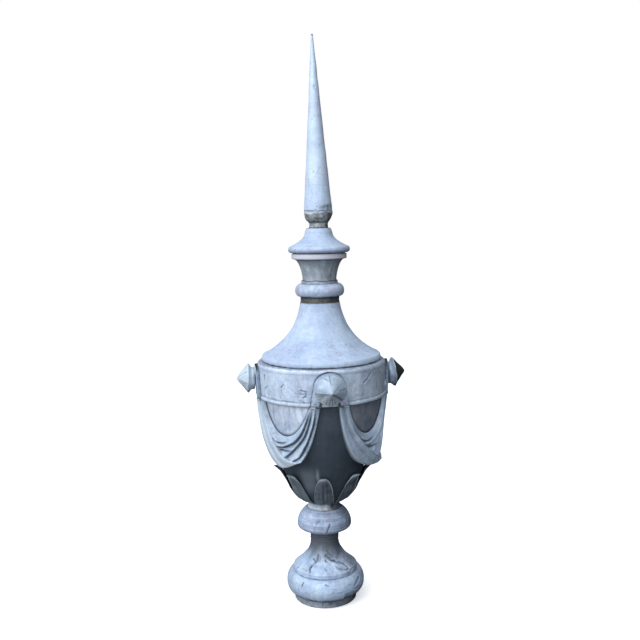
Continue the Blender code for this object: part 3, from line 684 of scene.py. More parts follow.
# %% Bowl finish
def shaded_patina_with_panels(name):
    material = weathered_zinc(name, "#535f6c", "#3f4a55", stain="#4a545b", dirt_and_shade="#14181c", clouds=140,
                              runs=0.12, rings=0.02, specks=0.1, crazing=0.1, highlight="#5c6976",
                              roughness=0.5, metallic=0.3, bump=0.15)
    tree = material.node_tree
    shader = tree.nodes["Principled BSDF"]
    dark = shader.inputs["Base Color"].links[0].from_socket
    place = add(tree, "ShaderNodeTexCoord").outputs["Object"]
    runs = patches(tree, place, 16, (1.0, 1.0, 0.12), Detail=6.0, Roughness=0.66)
    blots = patches(tree, place, 45, Detail=5.0, Roughness=0.65)
    panel = mix(tree, ramp(tree, maths(tree, "ADD", runs, blots), 0.8, 1.2), "#e6f0fc", "#a3b4d0")
    # The panels to the right of the front boss are darker grey-brown, partly stain and partly painted shade: a mask on
    # X in metres.
    side = add(tree, "ShaderNodeSeparateXYZ", None, place).outputs["X"]
    panel = mix(tree, ramp(tree, side, -0.02, 0.10, 0.0, 0.74, "SMOOTHSTEP"), panel, "#50545f")
    # The grime value paints the shade along the loops' edges onto the panels.
    panel = mix(tree, carried(tree, "grime_and_shade"), panel, "#262c33")
    tree.links.new(mix(tree, carried(tree, "pale"), dark, panel), shader.inputs["Base Color"])
    return material


finish(bowl, "bowl", shaded_patina_with_panels("slate_patina_and_shade_with_pale_panels"))

# %% [markdown]
# ## The calyx
# Eight pressed leaves hold the bowl like a flower's calyx. Each is a tongue with a groove down its
# middle and a fainter vein on each side, and its tip curls away from the bowl. A leaf begins as a
# flat grid that is made into a slab; then every point is bent to its place, by how far across the
# leaf it is and how far up. The other leaves are turned copies, joined in one mesh.

# %% Leaves
LEAF_COUNT, LEAF_TALL, LEAF_NOTCH = 8, 0.1415, 0.016
LEAF_FLARE, LEAF_FLARE_FROM = 0.0215, 0.085
LEAF_SHEET, LEAF_WIDTH = 0.0025, 0.97


def leaf_edge(o):
    """Height of a leaf's edge, o from -1 to 1 across."""
    return LEAF_NOTCH + (LEAF_TALL - LEAF_NOTCH) * max(0.0, 1 - abs(o) ** 2.5) ** 1.8


def leaf_point(o, v, behind):
    """Place of a leaf's point: o from -1 to 1 across, v from 0 at the foot to 1 at the edge."""
    z = 0.0004 + leaf_edge(o) * v
    spoon = 0.3 + 0.7 * exp(-((o / 0.22) ** 2))
    curl = LEAF_FLARE * spoon * max(0.0, (z - LEAF_FLARE_FROM) / (LEAF_TALL - LEAF_FLARE_FROM)) ** 1.1
    lip = 0.0035 * v**10
    grown = min(1.0, z / 0.03)
    vein = 0.0040 * exp(-((o / 0.07) ** 2)) + 0.0020 * exp(-(((abs(o) - 0.36 + 0.1 * v) / 0.07) ** 2))
    crown = 0.0035 * (1 - o * o)
    out = 0.0022 + curl + lip + (crown - vein * (1 - v**4)) * grown
    if behind:
        out -= 0.8 * curl
    else:
        out += LEAF_SHEET
    angle = pi / LEAF_COUNT * o * LEAF_WIDTH
    return on_wall(angle, radius_of(bowl_wall, z) + out, bowl_low + z)


leaf = bmesh.new()
leaf.verts.layers.float.new("grime_and_shade")
leaf.verts.layers.float.new("wear_and_highlight")
leaf_grime_and_shade, leaf_light = (leaf.verts.layers.float[name] for name in ("grime_and_shade", "wear_and_highlight"))
bmesh.ops.create_grid(leaf, x_segments=48, y_segments=44, size=0.5)
bmesh.ops.solidify(leaf, geom=leaf.faces[:], thickness=1.0)
for vert in leaf.verts:
    o, v, behind = vert.co.x * 2, vert.co.y + 0.5, abs(vert.co.z) > 0.5
    vert.co = leaf_point(o, v, behind)
    # Darker down the middle groove towards the foot; the back gets painted shade and the rims a painted highlight.
    vert[leaf_grime_and_shade] = 0.7 * exp(-((o / 0.05) ** 2)) * (1 - v) + (0.6 if behind else 0.0)
    vert[leaf_light] = 0.0 if behind else min(1.8 * v**22 * leaf_edge(o) / LEAF_TALL, 1.0)
bmesh.ops.recalc_face_normals(leaf, faces=leaf.faces)
bmesh.ops.spin(
    leaf, geom=leaf.verts[:] + leaf.edges[:] + leaf.faces[:], cent=(0, 0, 0), axis=(0, 0, 1),
    angle=2 * pi * (LEAF_COUNT - 1) / LEAF_COUNT, steps=LEAF_COUNT - 1, use_duplicate=True,
)
warp(leaf, 0.003, 0.035, 7.0)
# The two leaves that stand sideways to the front get painted shade, nearly black, and one in front gets painted light;
# places in degrees.
SIDEWAYS_AT, SIDEWAYS_HALF, PALE_LEAF_AT, PALE_LEAF_HALF = 91, 13, -45, 20
for vert in leaf.verts:
    azimuth = azimuth_of(vert.co)
    sideways = exp(-(((abs(azimuth) - SIDEWAYS_AT) / SIDEWAYS_HALF) ** 4))
    paler = 0.14 * exp(-(((azimuth - PALE_LEAF_AT) / PALE_LEAF_HALF) ** 4))
    vert[leaf_light] = max(vert[leaf_light] * (1 - sideways), paler)
    vert[leaf_grime_and_shade] = max(vert[leaf_grime_and_shade], 0.85 * sideways)
leaf_zinc = weathered_zinc("leaf_patina", "#7e8a95", "#565f68", stain="#687177", dirt_and_shade="#15191d", clouds=50,
                           runs=0.3, rings=0.05, specks=0.3, crazing=0.3, highlight="#9aa7b2", roughness=0.55)
finish(leaf, "calyx", leaf_zinc, sharp=50)

# %% [markdown]
# ## The drum
# The frieze is a straight band with a bead along its lower edge and a rounded shoulder. Rain runs
# down it, so its streaks are strong, and someone has scratched it on both sides of the front boss.

# %% Drum
DRUM_RADIUS, BEAD_RADIUS = 0.2493, 0.2535
drum_profile = [(0, 0), (0.246, 0.0), (BEAD_RADIUS - 0.0015, 0.0008)]
drum_profile += roll((BEAD_RADIUS - 0.0015, 0.0008), (BEAD_RADIUS - 0.002, 0.0125), BEAD_RADIUS, 0.5, 6)
drum_profile += [(DRUM_RADIUS - 0.0006, 0.0148), (DRUM_RADIUS, 0.018), (DRUM_RADIUS, drum_height - 0.0185)]
shoulder = (DRUM_RADIUS + 0.0008, drum_height - 0.012)
drum_profile += [(DRUM_RADIUS + 0.0008, drum_height - 0.0165), shoulder]
drum_profile += curve(shoulder, ((DRUM_RADIUS, drum_height - 0.003), (0.246, drum_height)), (0.234, drum_height), 12)
drum_profile += [(0, drum_height)]
# The right side gets painted shade.
drum = turned(drum_profile, drum_low, 384, 0.0032, (0.0012, 0.10, 8.0), [
    ([(38.5, 910), (43.1, 924), (48.5, 945)], 4.2, 2.2, 1.00), ([(-59.1, 933), (-59.4, 919)], 5.2, 1.4, 1.00),
    ([(-37.1, 899.5), (-34.8, 911)], 2.9, 1.0, 0.94), ([(-36.5, 890), (-37.4, 860)], 2.4, 0.9, 0.79),
    ([(-17.4, 894), (-13.4, 890), (-13.5, 873), (-15.8, 868)], 4.2, 1.8, 1.00),
    ([(-19.4, 857), (-14.6, 849)], 3.2, 0.9, 0.72), ([(-5.2, 843)], 5.5, 2.2, 1.00),
    ([(-18, 882), (-16, 880)], 3.6, 0.9, 0.72), ([(55, 942), (56, 905), (55.5, 880)], 3.6, 0.8, 0.72),
    ([(60, 950), (61, 915)], 4.2, 0.8, 0.79), ([(64, 935), (65, 890)], 4.2, 0.8, 0.72),
    ([(52, 950), (52.5, 930)], 3.8, 0.8, 0.72), ([(30, 870), (40, 862)], 2.9, 0.9, 0.50),
    ([(120, 930), (128, 905)], 4.2, 1.4, 0.86), ([(140, 880), (152, 876)], 3.8, 1.0, 0.72),
    ([(205, 935), (206, 890)], 3.8, 0.9, 0.72), ([(235, 900), (243, 925)], 3.8, 1.4, 0.86),
    ([(300, 880), (306, 896)], 3.6, 1.0, 0.72),
], seams=[(0.0148, 0.0035, 0.55), (drum_height - 0.0005, 0.003, 0.5)], soiled=[(20, 65, 0.34)])
drum_highlight = drum.verts.layers.float["wear_and_highlight"]
# The shoulder and the bead get a painted highlight, broken up by noise.
SHOULDER_DOWN, BEAD_UP, HIGHLIGHT_REACH, EDGE_HIGHLIGHT = 0.010, 0.007, 0.006, 0.45
for vert in drum.verts:
    up = vert.co.z - drum_low
    edge = exp(-(((up - drum_height + SHOULDER_DOWN) / HIGHLIGHT_REACH) ** 2)) + exp(-(((up - BEAD_UP) / HIGHLIGHT_REACH) ** 2))
    vert[drum_highlight] = EDGE_HIGHLIGHT * min(edge, 1.0) * max(0.0, 0.6 + noise.noise(vert.co * 28))
drum_zinc = weathered_zinc("rain_run_zinc", "#d6e6f7", "#b3c5de", stain="#bcbedd", runs=0.2, clouds=60, rings=0.03)
print("drum band radius:", DRUM_RADIUS)

# %% [markdown]
# ## Straps
# A strap of sheet arches over each boss like a horseshoe, and its two legs run down over the drum's
# bead to hold the ends of the drapery. The strap is a slab again. Its length follows the horseshoe,
# its width crosses it, and the result is wrapped round the drum. Its front edges are bevelled, so
# that they catch a thin line of light.

# %% Straps
STRAP_PROUD, STRAP_GAP, STRAP_CROWN, STRAP_BEVEL = 0.0118, 0.0007, 0.0012, 0.0016
ARCH_RADIUS, STRAP_WIDTH, STRAP_FOOT_WIDTH, FOOT_SPREAD = 0.043, 0.027, 0.036, 0.0525
BOSS_DROP, RIVET_UP, RIVET_REACH, FOOT_SEAM_UP, FOOT_SEAM_REACH = 0.065, 0.0135, 0.0032, 0.006, 0.0016
boss_level = drum_low + drum_height - BOSS_DROP + 0.0003
LEG = boss_level - drum_low - 0.0003


def leg_at(share):
    """(middle, width) of a leg: share runs from 0 at the arch to 1 at the foot."""
    middle = ARCH_RADIUS + (FOOT_SPREAD - ARCH_RADIUS) * share
    return middle, STRAP_WIDTH + (STRAP_FOOT_WIDTH - STRAP_WIDTH) * share


def strap_place(along, side):
    """(across, up) in the strap's own plane: along from 0 at one foot to 1 at the other."""
    half_arch = pi * ARCH_RADIUS / 2
    travel = (along - 0.5) * 2 * (half_arch + LEG)
    if abs(travel) <= half_arch:
        angle = pi / 2 - travel / ARCH_RADIUS
        reach = ARCH_RADIUS + side * STRAP_WIDTH
        return reach * cos(angle), reach * sin(angle)
    down = abs(travel) - half_arch
    middle, width = leg_at(down / LEG)
    return (1 if travel > 0 else -1) * (middle + side * width), -down


def make_strap(side_name, turn, seed):
    strap = bmesh.new()
    strap.verts.layers.float.new("grime_and_shade")
    strap.verts.layers.float.new("wear_and_highlight")
    grime_and_shade, wear_and_highlight = (strap.verts.layers.float[name] for name in ("grime_and_shade", "wear_and_highlight"))
    bmesh.ops.create_grid(strap, x_segments=110, y_segments=8, size=0.5)
    bmesh.ops.solidify(strap, geom=strap.faces[:], thickness=1.0)
    bmesh.ops.recalc_face_normals(strap, faces=strap.faces)
    for vert in strap.verts:
        along, side, behind = vert.co.x + 0.5, vert.co.y, abs(vert.co.z) > 0.5
        x, up = strap_place(along, side)
        height = boss_level + up
        wall = max(radius_of(drum_profile[1:-1], height - drum_low), DRUM_RADIUS) + STRAP_GAP
        crown = STRAP_CROWN * (1 - (2 * side) ** 2)
        radius = wall if behind else DRUM_RADIUS + STRAP_PROUD - STRAP_CROWN + crown
        vert.co = on_wall(x / DRUM_RADIUS, radius, height)
        foot_share = max(0.0, 1 - (height - drum_low) / 0.03)
        # The back and side walls get painted shade, the shadow in the gap round the strap, and the front's long edges a
        # painted highlight; the front darkens a little towards the foot.
        vert[grime_and_shade] = 0.7 if behind else 0.25 * foot_share
        vert[wear_and_highlight] = 0.0 if behind else 0.25 * abs(2 * side) ** 6
    front_edges = [
        e for e in strap.edges
        if len(e.link_faces) == 2 and e.calc_face_angle(0) > radians(50)
        and min(hypot(*v.co.xy) for v in e.verts) > DRUM_RADIUS + STRAP_PROUD * 0.7
    ]
    bmesh.ops.bevel(strap, geom=front_edges, offset=STRAP_BEVEL, offset_type="OFFSET", segments=2, profile=0.5,
                    affect="EDGES", material=-1, clamp_overlap=True)
    warp(strap, 0.0012, 0.03, seed)
    rivets = [on_wall(azimuth, DRUM_RADIUS + STRAP_PROUD, drum_low + RIVET_UP)
              for azimuth in (-FOOT_SPREAD / DRUM_RADIUS, FOOT_SPREAD / DRUM_RADIUS)]
    for vert in strap.verts:
        rivet = exp(-((min((vert.co - place).length for place in rivets) / RIVET_REACH) ** 2))
        seam = 0.8 * exp(-(((vert.co.z - drum_low - FOOT_SEAM_UP) / FOOT_SEAM_REACH) ** 2))
        vert[grime_and_shade] = max(vert[grime_and_shade], rivet, seam)
    bmesh.ops.rotate(strap, verts=strap.verts, cent=(0, 0, 0), matrix=Matrix.Rotation(turn, 3, "Z"))
    finish(strap, "strap_" + side_name, pale_zinc)


SIDE_NAMES = ("front", "right", "back", "left")
turns = {side: FRONT_BOSS + pi / 2 * i for i, side in enumerate(SIDE_NAMES)}
for number, side in enumerate(SIDE_NAMES):
    make_strap(side, turns[side], 9.0 + number)

# %% [markdown]
# Water sits where a strap meets the drum, and the strap's edge shades it, so a thin dark line,
# partly dirt and partly painted shadow, follows each horseshoe. It belongs to the drum's own
# surface, which is why the drum is finished only now.


# %% Dirt and painted shadow round the straps
def beyond_strap(across, up):
    """How far a point of the drum lies outside the horseshoe, in metres; less than 0 is beneath it."""
    if up >= 0:
        return abs(hypot(across, up) - ARCH_RADIUS) - STRAP_WIDTH / 2
    middle, width = leg_at(-up / LEG)
    return abs(abs(across) - middle) - width / 2


drum_grime_and_shade = drum.verts.layers.float["grime_and_shade"]
for vert in drum.verts:
    round_by = (atan2(vert.co.x, -vert.co.y) - FRONT_BOSS + pi / 4) % (pi / 2) - pi / 4
    beyond = beyond_strap(round_by * DRUM_RADIUS, vert.co.z - boss_level)
    if -0.004 < beyond < 0.02 and hypot(vert.co.x, vert.co.y) > DRUM_RADIUS - 0.01:
        dirt_and_shadow_line = 0.9 * exp(-((beyond / 0.0032) ** 2)) + 0.18 * exp(-((beyond / 0.010) ** 2))
        vert[drum_grime_and_shade] = max(vert[drum_grime_and_shade], min(dirt_and_shadow_line, 1.0))
finish(drum, "drum", drum_zinc)

# %% [markdown]
# ## Bosses
# Each boss is a short stem that widens to a disc and closes in a blunt cone. It is spun like the
# rest, about its own axis, and then laid over on its side. None is straight any more: the front one
# has had its chin pushed in, which leaves two sharp creases from the cone's point and a dark,
# wrinkled hollow below; it is dark from shade, and is painted lighter. Each boss is knocked first
# and tilted afterwards.

# %% Boss shape
BOSS_RADIUS, BOSS_STEM, STEM_LONG, CONE_LONG = 0.0570, 0.043, 0.022, 0.0468
boss_profile = [(0, 0), (BOSS_STEM - 0.001, 0.0), (BOSS_STEM, 0.002), (BOSS_STEM, 0.006)]
boss_profile += curve(boss_profile[-1], ((BOSS_STEM, 0.014), (BOSS_RADIUS - 0.003, 0.017)),
                      (BOSS_RADIUS, STEM_LONG), 8)
boss_profile += [(BOSS_RADIUS, STEM_LONG + 0.003), (BOSS_RADIUS - 0.0012, STEM_LONG + 0.0045)]
cone_end = (0.004, STEM_LONG + CONE_LONG - 0.0006)
boss_profile += curve(boss_profile[-1], ((0.040, STEM_LONG + 0.017), (0.022, STEM_LONG + 0.034)), cone_end, 20)
boss_profile += [(0, STEM_LONG + CONE_LONG)]
SEAT = DRUM_RADIUS + STRAP_PROUD + 0.0022


def press_chin(shape, first, last, depth):
    """Flattens the cone between two angles round its axis, in degrees, and creases the borders; the hollow gets painted
    light against the shade it lies in.
    """
    layer = shape.verts.layers.float["grime_and_shade"]
    chin_light = shape.verts.layers.float["wear_and_highlight"]
    middle, half = radians(first + last) / 2, radians(last - first) / 2
    for vert in shape.verts:
        if vert.co.z < STEM_LONG + 0.002:
            continue
        angle = atan2(vert.co.y, vert.co.x)
        off = abs((angle - middle + pi) % (2 * pi) - pi) / half
        reach = hypot(vert.co.x, vert.co.y) / BOSS_RADIUS
        inside = max(0.0, 1 - off**6) if off < 1 else 0.0
        vert.co.z -= depth * inside * sin(pi * min(reach, 1.0)) ** 0.7
        ridge = exp(-(((off - 1) / 0.07) ** 2)) * min(1.0, reach * 3)
        wrinkle = 0.5 + 0.5 * noise.noise(Vector((angle * 7, reach * 2, 4.0)))
        vert[layer] = max(vert[layer], 0.35 * ridge, inside * 0.28 * wrinkle * reach**2)
        # Painted light in the hollow, which falls in shade.
        vert[chin_light] = 0.95 * inside * (1 - 0.3 * wrinkle)
        vert.co.z += 0.0012 * inside * reach * noise.noise(Vector((angle * 9, reach * 3, 1.0)))


def scratch_cone(shape, lines):
    """lines: (angle at the start, reach there, the same two at the end, width in mm)."""
    layer = shape.verts.layers.float["grime_and_shade"]
    for a0, r0, a1, r1, width in lines:
        start, end = (Vector((r * cos(radians(a)), r * sin(radians(a)), 0)) * BOSS_RADIUS
                      for a, r in ((a0, r0), (a1, r1)))
        for vert in shape.verts:
            if vert.co.z < STEM_LONG:
                continue
            away = to_segment(Vector((vert.co.x, vert.co.y, 0)), start, end) * 1000 / width
            vert[layer] = max(vert[layer], 0.8 * exp(-away * away * 1.5))
            vert.co.z -= 0.0008 * exp(-away * away)


def lay_over(shape, tilt, turn):
    """Stands the boss out from the drum: its own axis points outwards, tilted up or down."""
    for vert in shape.verts:
        across, up, out = vert.co.x, vert.co.y, vert.co.z
        lean = tilt * min(out / STEM_LONG, 1.0)
        depth = SEAT + out if out > 0.0021 else sqrt(max(SEAT**2 - across**2, 0.01)) + out
        vert.co = (across, up * sin(lean) - depth, up * cos(lean) + out * sin(lean) + boss_level)
    bmesh.ops.rotate(shape, verts=shape.verts, cent=(0, 0, 0), matrix=Matrix.Rotation(turn, 3, "Z"))


# %% Bosses
BOSS_KNOCKS = {
    "front": (radians(-6), (190, 318), 0.0062, [
        (32, 0.1, 36, 0.8, 1.0), (-41, 0.05, -40, 0.9, 2.6), (12, 0.5, 8, 0.9, 1.0), (93, 0.5, 96, 1.0, 1.8),
        (262, 0.5, 264, 1.0, 2.0), (278, 0.45, 276, 1.0, 1.8), (247, 0.6, 250, 1.0, 1.6), (292, 0.6, 288, 0.98, 1.6),
        (203, 0.5, 206, 0.85, 1.4), (218, 0.6, 216, 0.95, 1.2), (104, 0.75, 118, 0.95, 1.4)]),
    "right": (radians(5), (225, 345), 0.0050, [
        (120, 0.1, 140, 0.9, 1.4), (40, 0.2, 30, 0.9, 1.4), (200, 0.2, 215, 0.95, 1.4)]),
    "back": (0.0, (180, 250), 0.0020, [(60, 0.1, 75, 0.9, 1.4), (300, 0.3, 310, 0.9, 1.4)]),
    "left": (radians(1), (230, 300), 0.0015, [
        (170, 0.2, 160, 0.9, 1.2), (30, 0.2, 40, 0.9, 1.2), (350, 0.3, 345, 0.95, 1.0)]),
}
# The right boss's cone is all painted shade, above 1 because the finish breaks the grime value into crumbs. The left
# boss is pale.
CONE_SHADE, LEFT_BLEACHED = 1.25, 0.6
boss_zinc = weathered_zinc("beaten_zinc", "#b4c6d9", "#9badc0", stain="#aab6bf", dirt_and_shade="#2a3135", clouds=40,
                           rings=0.05)
for number, (side, (tilt, chin, depth, lines)) in enumerate(BOSS_KNOCKS.items()):
    boss = spin_profile(boss_profile, 128, 0.0018)
    warp(boss, 0.0022, 0.02, 14.0 + number)
    press_chin(boss, *chin, depth)
    scratch_cone(boss, lines)
    soil_seam(boss, 0.001, 0.004, 0.8)
    soil_seam(boss, STEM_LONG - 0.001, 0.0025, 0.5, 0.001)
    grime_and_shade, wear_and_highlight = (boss.verts.layers.float[name] for name in ("grime_and_shade", "wear_and_highlight"))
    for vert in boss.verts:
        if side == "right":
            up_cone = vert.co.z - STEM_LONG - 0.002 + 0.004 * noise.noise(vert.co * 40)
            vert[grime_and_shade] = max(vert[grime_and_shade], CONE_SHADE * max(0.0, min(1.0, up_cone / 0.006)))
        if side == "left":
            vert[wear_and_highlight] = max(vert[wear_and_highlight], LEFT_BLEACHED)
    lay_over(boss, tilt, turns[side])
    finish(boss, "boss_" + side, boss_zinc, sharp=60)

# %% [markdown]
# ## Drapery
# The swags are the heart of the piece. A cloth hung from two points falls in nested folds: the
# folds start pinched together under the right-hand strap, sweep down and to the left, and slip
# behind a broad smooth band, which falls from the left-hand strap and crosses in front of them to a
# low, pointed corner. Each fold is a soft roll above a sharp crease, so its shadow is a dark
# crescent.
#
# A fold is a line of knots on the unrolled sheet. A smooth curve runs through them, and for any
# point of the sheet the nearest place on that curve gives two things: how far off it is, with a
# sign for the side, and how far along. Depth depends on the second, and the section of the fold on
# the first, so a crease keeps its width wherever it turns.

# %% Lines on the sheet
SHEET_RADIUS = 0.25


def smooth_line(knots, pieces=6):
    """Points along a curve through (s, t) knots, as metres across and down on the unrolled sheet."""
    flat = []
    for angle, drop in (across_swag(s, t) for s, t in knots):
        flat.append(Vector((radians(angle) * SHEET_RADIUS, -drop)))
    line = [flat[0]]
    for i in range(len(flat) - 1):
        before, after = flat[max(i - 1, 0)], flat[min(i + 2, len(flat) - 1)]
        start, end = flat[i], flat[i + 1]
        for step in range(1, pieces + 1):
            u = step / pieces
            line.append((2 * u**3 - 3 * u**2 + 1) * start + (u**3 - 2 * u**2 + u) * (end - before) / 2
                        + (3 * u**2 - 2 * u**3) * end + (u**3 - u**2) * (after - start) / 2)
    return line


def nearest(line, point):
    """(distance, share along): the distance is less than 0 on the left of the line's direction."""
    best, place = (1e9, 0.0, 0.0), 0.0
    for i, (start, end) in enumerate(zip(line, line[1:])):
        along = end - start
        off = point - start
        share = max(0.0, min(1.0, off.dot(along) / along.length_squared))
        gap = (off - along * share).length
        if gap < best[0]:
            side = along.x * off.y - along.y * off.x
            best = (gap, -1.0 if side > 0 else 1.0, (i + share) / (len(line) - 1))
    return best[0] * best[1], best[2]


def by_share(values, share):
    """Values in mm spread evenly along a line, read at a share of it, in metres."""
    place = share * (len(values) - 1)
    first = min(int(place), len(values) - 2)
    return (values[first] + (values[first + 1] - values[first]) * (place - first)) / 1000


# Each fold runs from the left to the right: (s, t) knots, depth in mm along it, width in mm above and below.
FOLDS = [
    ([(0.34, 0.27), (0.40, 0.25), (0.48, 0.20), (0.56, 0.17)], (3, 7, 6, 1), 3.0, 10),
    ([(0.32, 0.46), (0.40, 0.40), (0.46, 0.35), (0.52, 0.31), (0.64, 0.265), (0.74, 0.285), (0.82, 0.28),
      (0.93, 0.22), (1.0, 0.20)], (5, 8, 10, 12, 12, 11, 9, 7, 4), 3.0, 15),
    ([(0.40, 0.52), (0.47, 0.43), (0.53, 0.44), (0.60, 0.46)], (5, 8, 7, 1), 3.0, 10),
    ([(0.44, 0.86), (0.50, 0.70), (0.58, 0.52), (0.68, 0.45), (0.76, 0.49), (0.84, 0.475), (0.94, 0.40),
      (1.0, 0.36)], (6, 10, 12, 13, 12, 10, 7, 4), 3.0, 16),
    ([(0.50, 0.96), (0.56, 0.86), (0.63, 0.81), (0.71, 0.80), (0.80, 0.79), (0.89, 0.785), (0.97, 0.70),
      (1.0, 0.66)], (4, 7, 9, 10, 10, 9, 7, 4), 3.0, 14),
]
# The broad band's upper edge; along it, the band's height over the folds and the depth of a groove, both in mm.
BAND_EDGE_LINE = smooth_line([(0.0, 0.24), (0.10, 0.25), (0.20, 0.25), (0.28, 0.27), (0.36, 0.33), (0.44, 0.46),
                              (0.50, 0.62), (0.56, 0.80), (0.615, 0.985)])
BAND_STEP = (0, 1, 3, 6, 8, 8, 7, 6, 4)
BAND_GROOVE = (4, 6, 5, 3, 2, 1, 0, 0, 0)
BAND_MIDDLE = smooth_line([(0.0, 0.62), (0.12, 0.57), (0.28, 0.58), (0.38, 0.66), (0.47, 0.84), (0.53, 0.98)])
FOLD_LINES = [(smooth_line(knots), depths, above / 1000, below / 1000) for knots, depths, above, below in FOLDS]
print("folds in each swag:", len(FOLDS))

# %% [markdown]
# The hanging line: at the drum the cloth stands 27 mm off the bowl, and lower down, where the bowl
# draws in, it hangs almost straight and so stands further off. At the inner edge it lies on the
# bowl. The folds are added to that line, and the lower hem is tucked in.

# %% Stand-off of the drapery
TOP_REACH, LOW_REACH, SWAG_DROP = 0.2620, 0.2420, 0.228
LEAST_OUT, FOLD_REACH = 0.003, 0.05
# Widths and depths in metres of the band's edge, the groove and the painted shadow along it, its middle crease, folds
# and hem.
BAND_BLEND, BAND_EASE, GROOVE_ABOVE, GROOVE_BELOW, BAND_SHADOW_REACH = 0.0035, 0.05, 0.004, 0.014, 0.0026
CREASE_DEEP, CREASE_REACH, CREASE_SHADE, FOLD_SHADE, FOLD_DEEP = 0.0055, 0.010, 0.006, 0.0040, 0.007
HEM_TUCK, LAST_FOLD_BACK, EDGE_BACK = 0.009, 0.019, 0.003


def drape(s, t, angle, drop, wall):
    """(stand-off from the bowl, painted shade in the creases, painted shadow beside the band's edge, share of the band)
    at a point.
    """
    point = Vector((radians(angle) * SHEET_RADIUS, -drop))
    hanging = TOP_REACH + (LOW_REACH - TOP_REACH) * min(drop / SWAG_DROP, 1.1) - wall
    left_part = max(0.0, min(1.0, (0.62 - s) / 0.2))
    quick, slow = 1 - exp(-t / 0.09), min(t / 0.20, 1.0) ** 1.3
    body = 0.62 * (quick + (slow - quick) * left_part * 0.6) + 0.38 * t
    out = LEAST_OUT + (hanging - LEAST_OUT) * min(body, 1.0)
    gap, share = nearest(BAND_EDGE_LINE, point)
    in_front = max(0.0, min(1.0, gap / BAND_BLEND + 0.5)) if s < CORNER_SHARE + 0.02 else 0.0
    step = by_share(BAND_STEP, share)
    out += in_front * step * exp(-max(gap, 0.0) / BAND_EASE)
    groove = by_share(BAND_GROOVE, share)
    out -= groove * exp(-((gap / (GROOVE_ABOVE if gap < 0 else GROOVE_BELOW)) ** 2))
    band_shadow = exp(-(((gap + 0.001) / BAND_SHADOW_REACH) ** 2)) * min((step + groove * 0.3) / 0.008, 1.0)
    dirt_and_shade = 0.0
    depth_scale = min(1.0, 0.35 + drop / 0.09)
    for line, depths, above, below in FOLD_LINES:
        gap, share = nearest(line, point)
        if abs(gap) > FOLD_REACH:
            continue
        depth = by_share(depths, share) * depth_scale
        narrow = 0.45 + 0.55 * depth_scale
        bite = exp(-((gap / (above if gap < 0 else below * narrow)) ** 2)) * depth
        crest = exp(-(((gap + 2.4 * above) / (2.0 * above)) ** 2)) * depth * 0.3
        out += (crest - bite) * (1 - in_front)
        # Painted shade in each fold's crease.
        dirt_and_shade = max(dirt_and_shade, 0.85 * exp(-((gap / FOLD_SHADE) ** 2)) * min(depth / FOLD_DEEP, 1.0) * (1 - in_front))
    if s < CORNER_SHARE:
        gap, share = nearest(BAND_MIDDLE, point)
        out -= CREASE_DEEP * exp(-((gap / CREASE_REACH) ** 2)) * (1 - 0.7 * share)
        band_shadow = max(band_shadow, 0.3 * exp(-((gap / CREASE_SHADE) ** 2)) * (1 - 0.6 * share))
        tucked = max(0.0, 1 - ((s - 0.40) / 0.21) ** 2)
        out -= HEM_TUCK * tucked * max(0.0, (t - 0.62) / 0.38) ** 2
    # Near the right-hand strap the last fold rolls back to the bowl, so it looks away from the light.
    turned_in = max(0.0, min(1.0, (s - 0.63) / 0.06))
    out -= (LAST_FOLD_BACK - 0.008 * min(1.0, (s - 0.63) / 0.2)) * turned_in * max(0.0, (t - 0.66) / 0.34) ** 1.6
    out -= EDGE_BACK * max(0.0, (t - 0.95) / 0.05) ** 2
    # Painted shade on the inner roll at the left, which is turned from the light.
    dirt_and_shade = max(dirt_and_shade, 0.20 * exp(-(((t - 0.08) / 0.12) ** 2)) * left_part)
    return max(out, LEAST_OUT), dirt_and_shade, band_shadow, in_front


# %% [markdown]
# The four swags came out of one mould. The mould is a slab of s by t points whose back lies on the
# bowl, with walls that close the gap all the way round. Its points also carry where the front, the
# low corner, the hem and the band are, and the painted shadow beside the band and its crease. Each
# swag is a copy with dents of its own, turned by a quarter. Handling has moved two of the low
# corners: the left swag's is bent up and the right swag's hangs lower. The left one's band gets
# painted light.

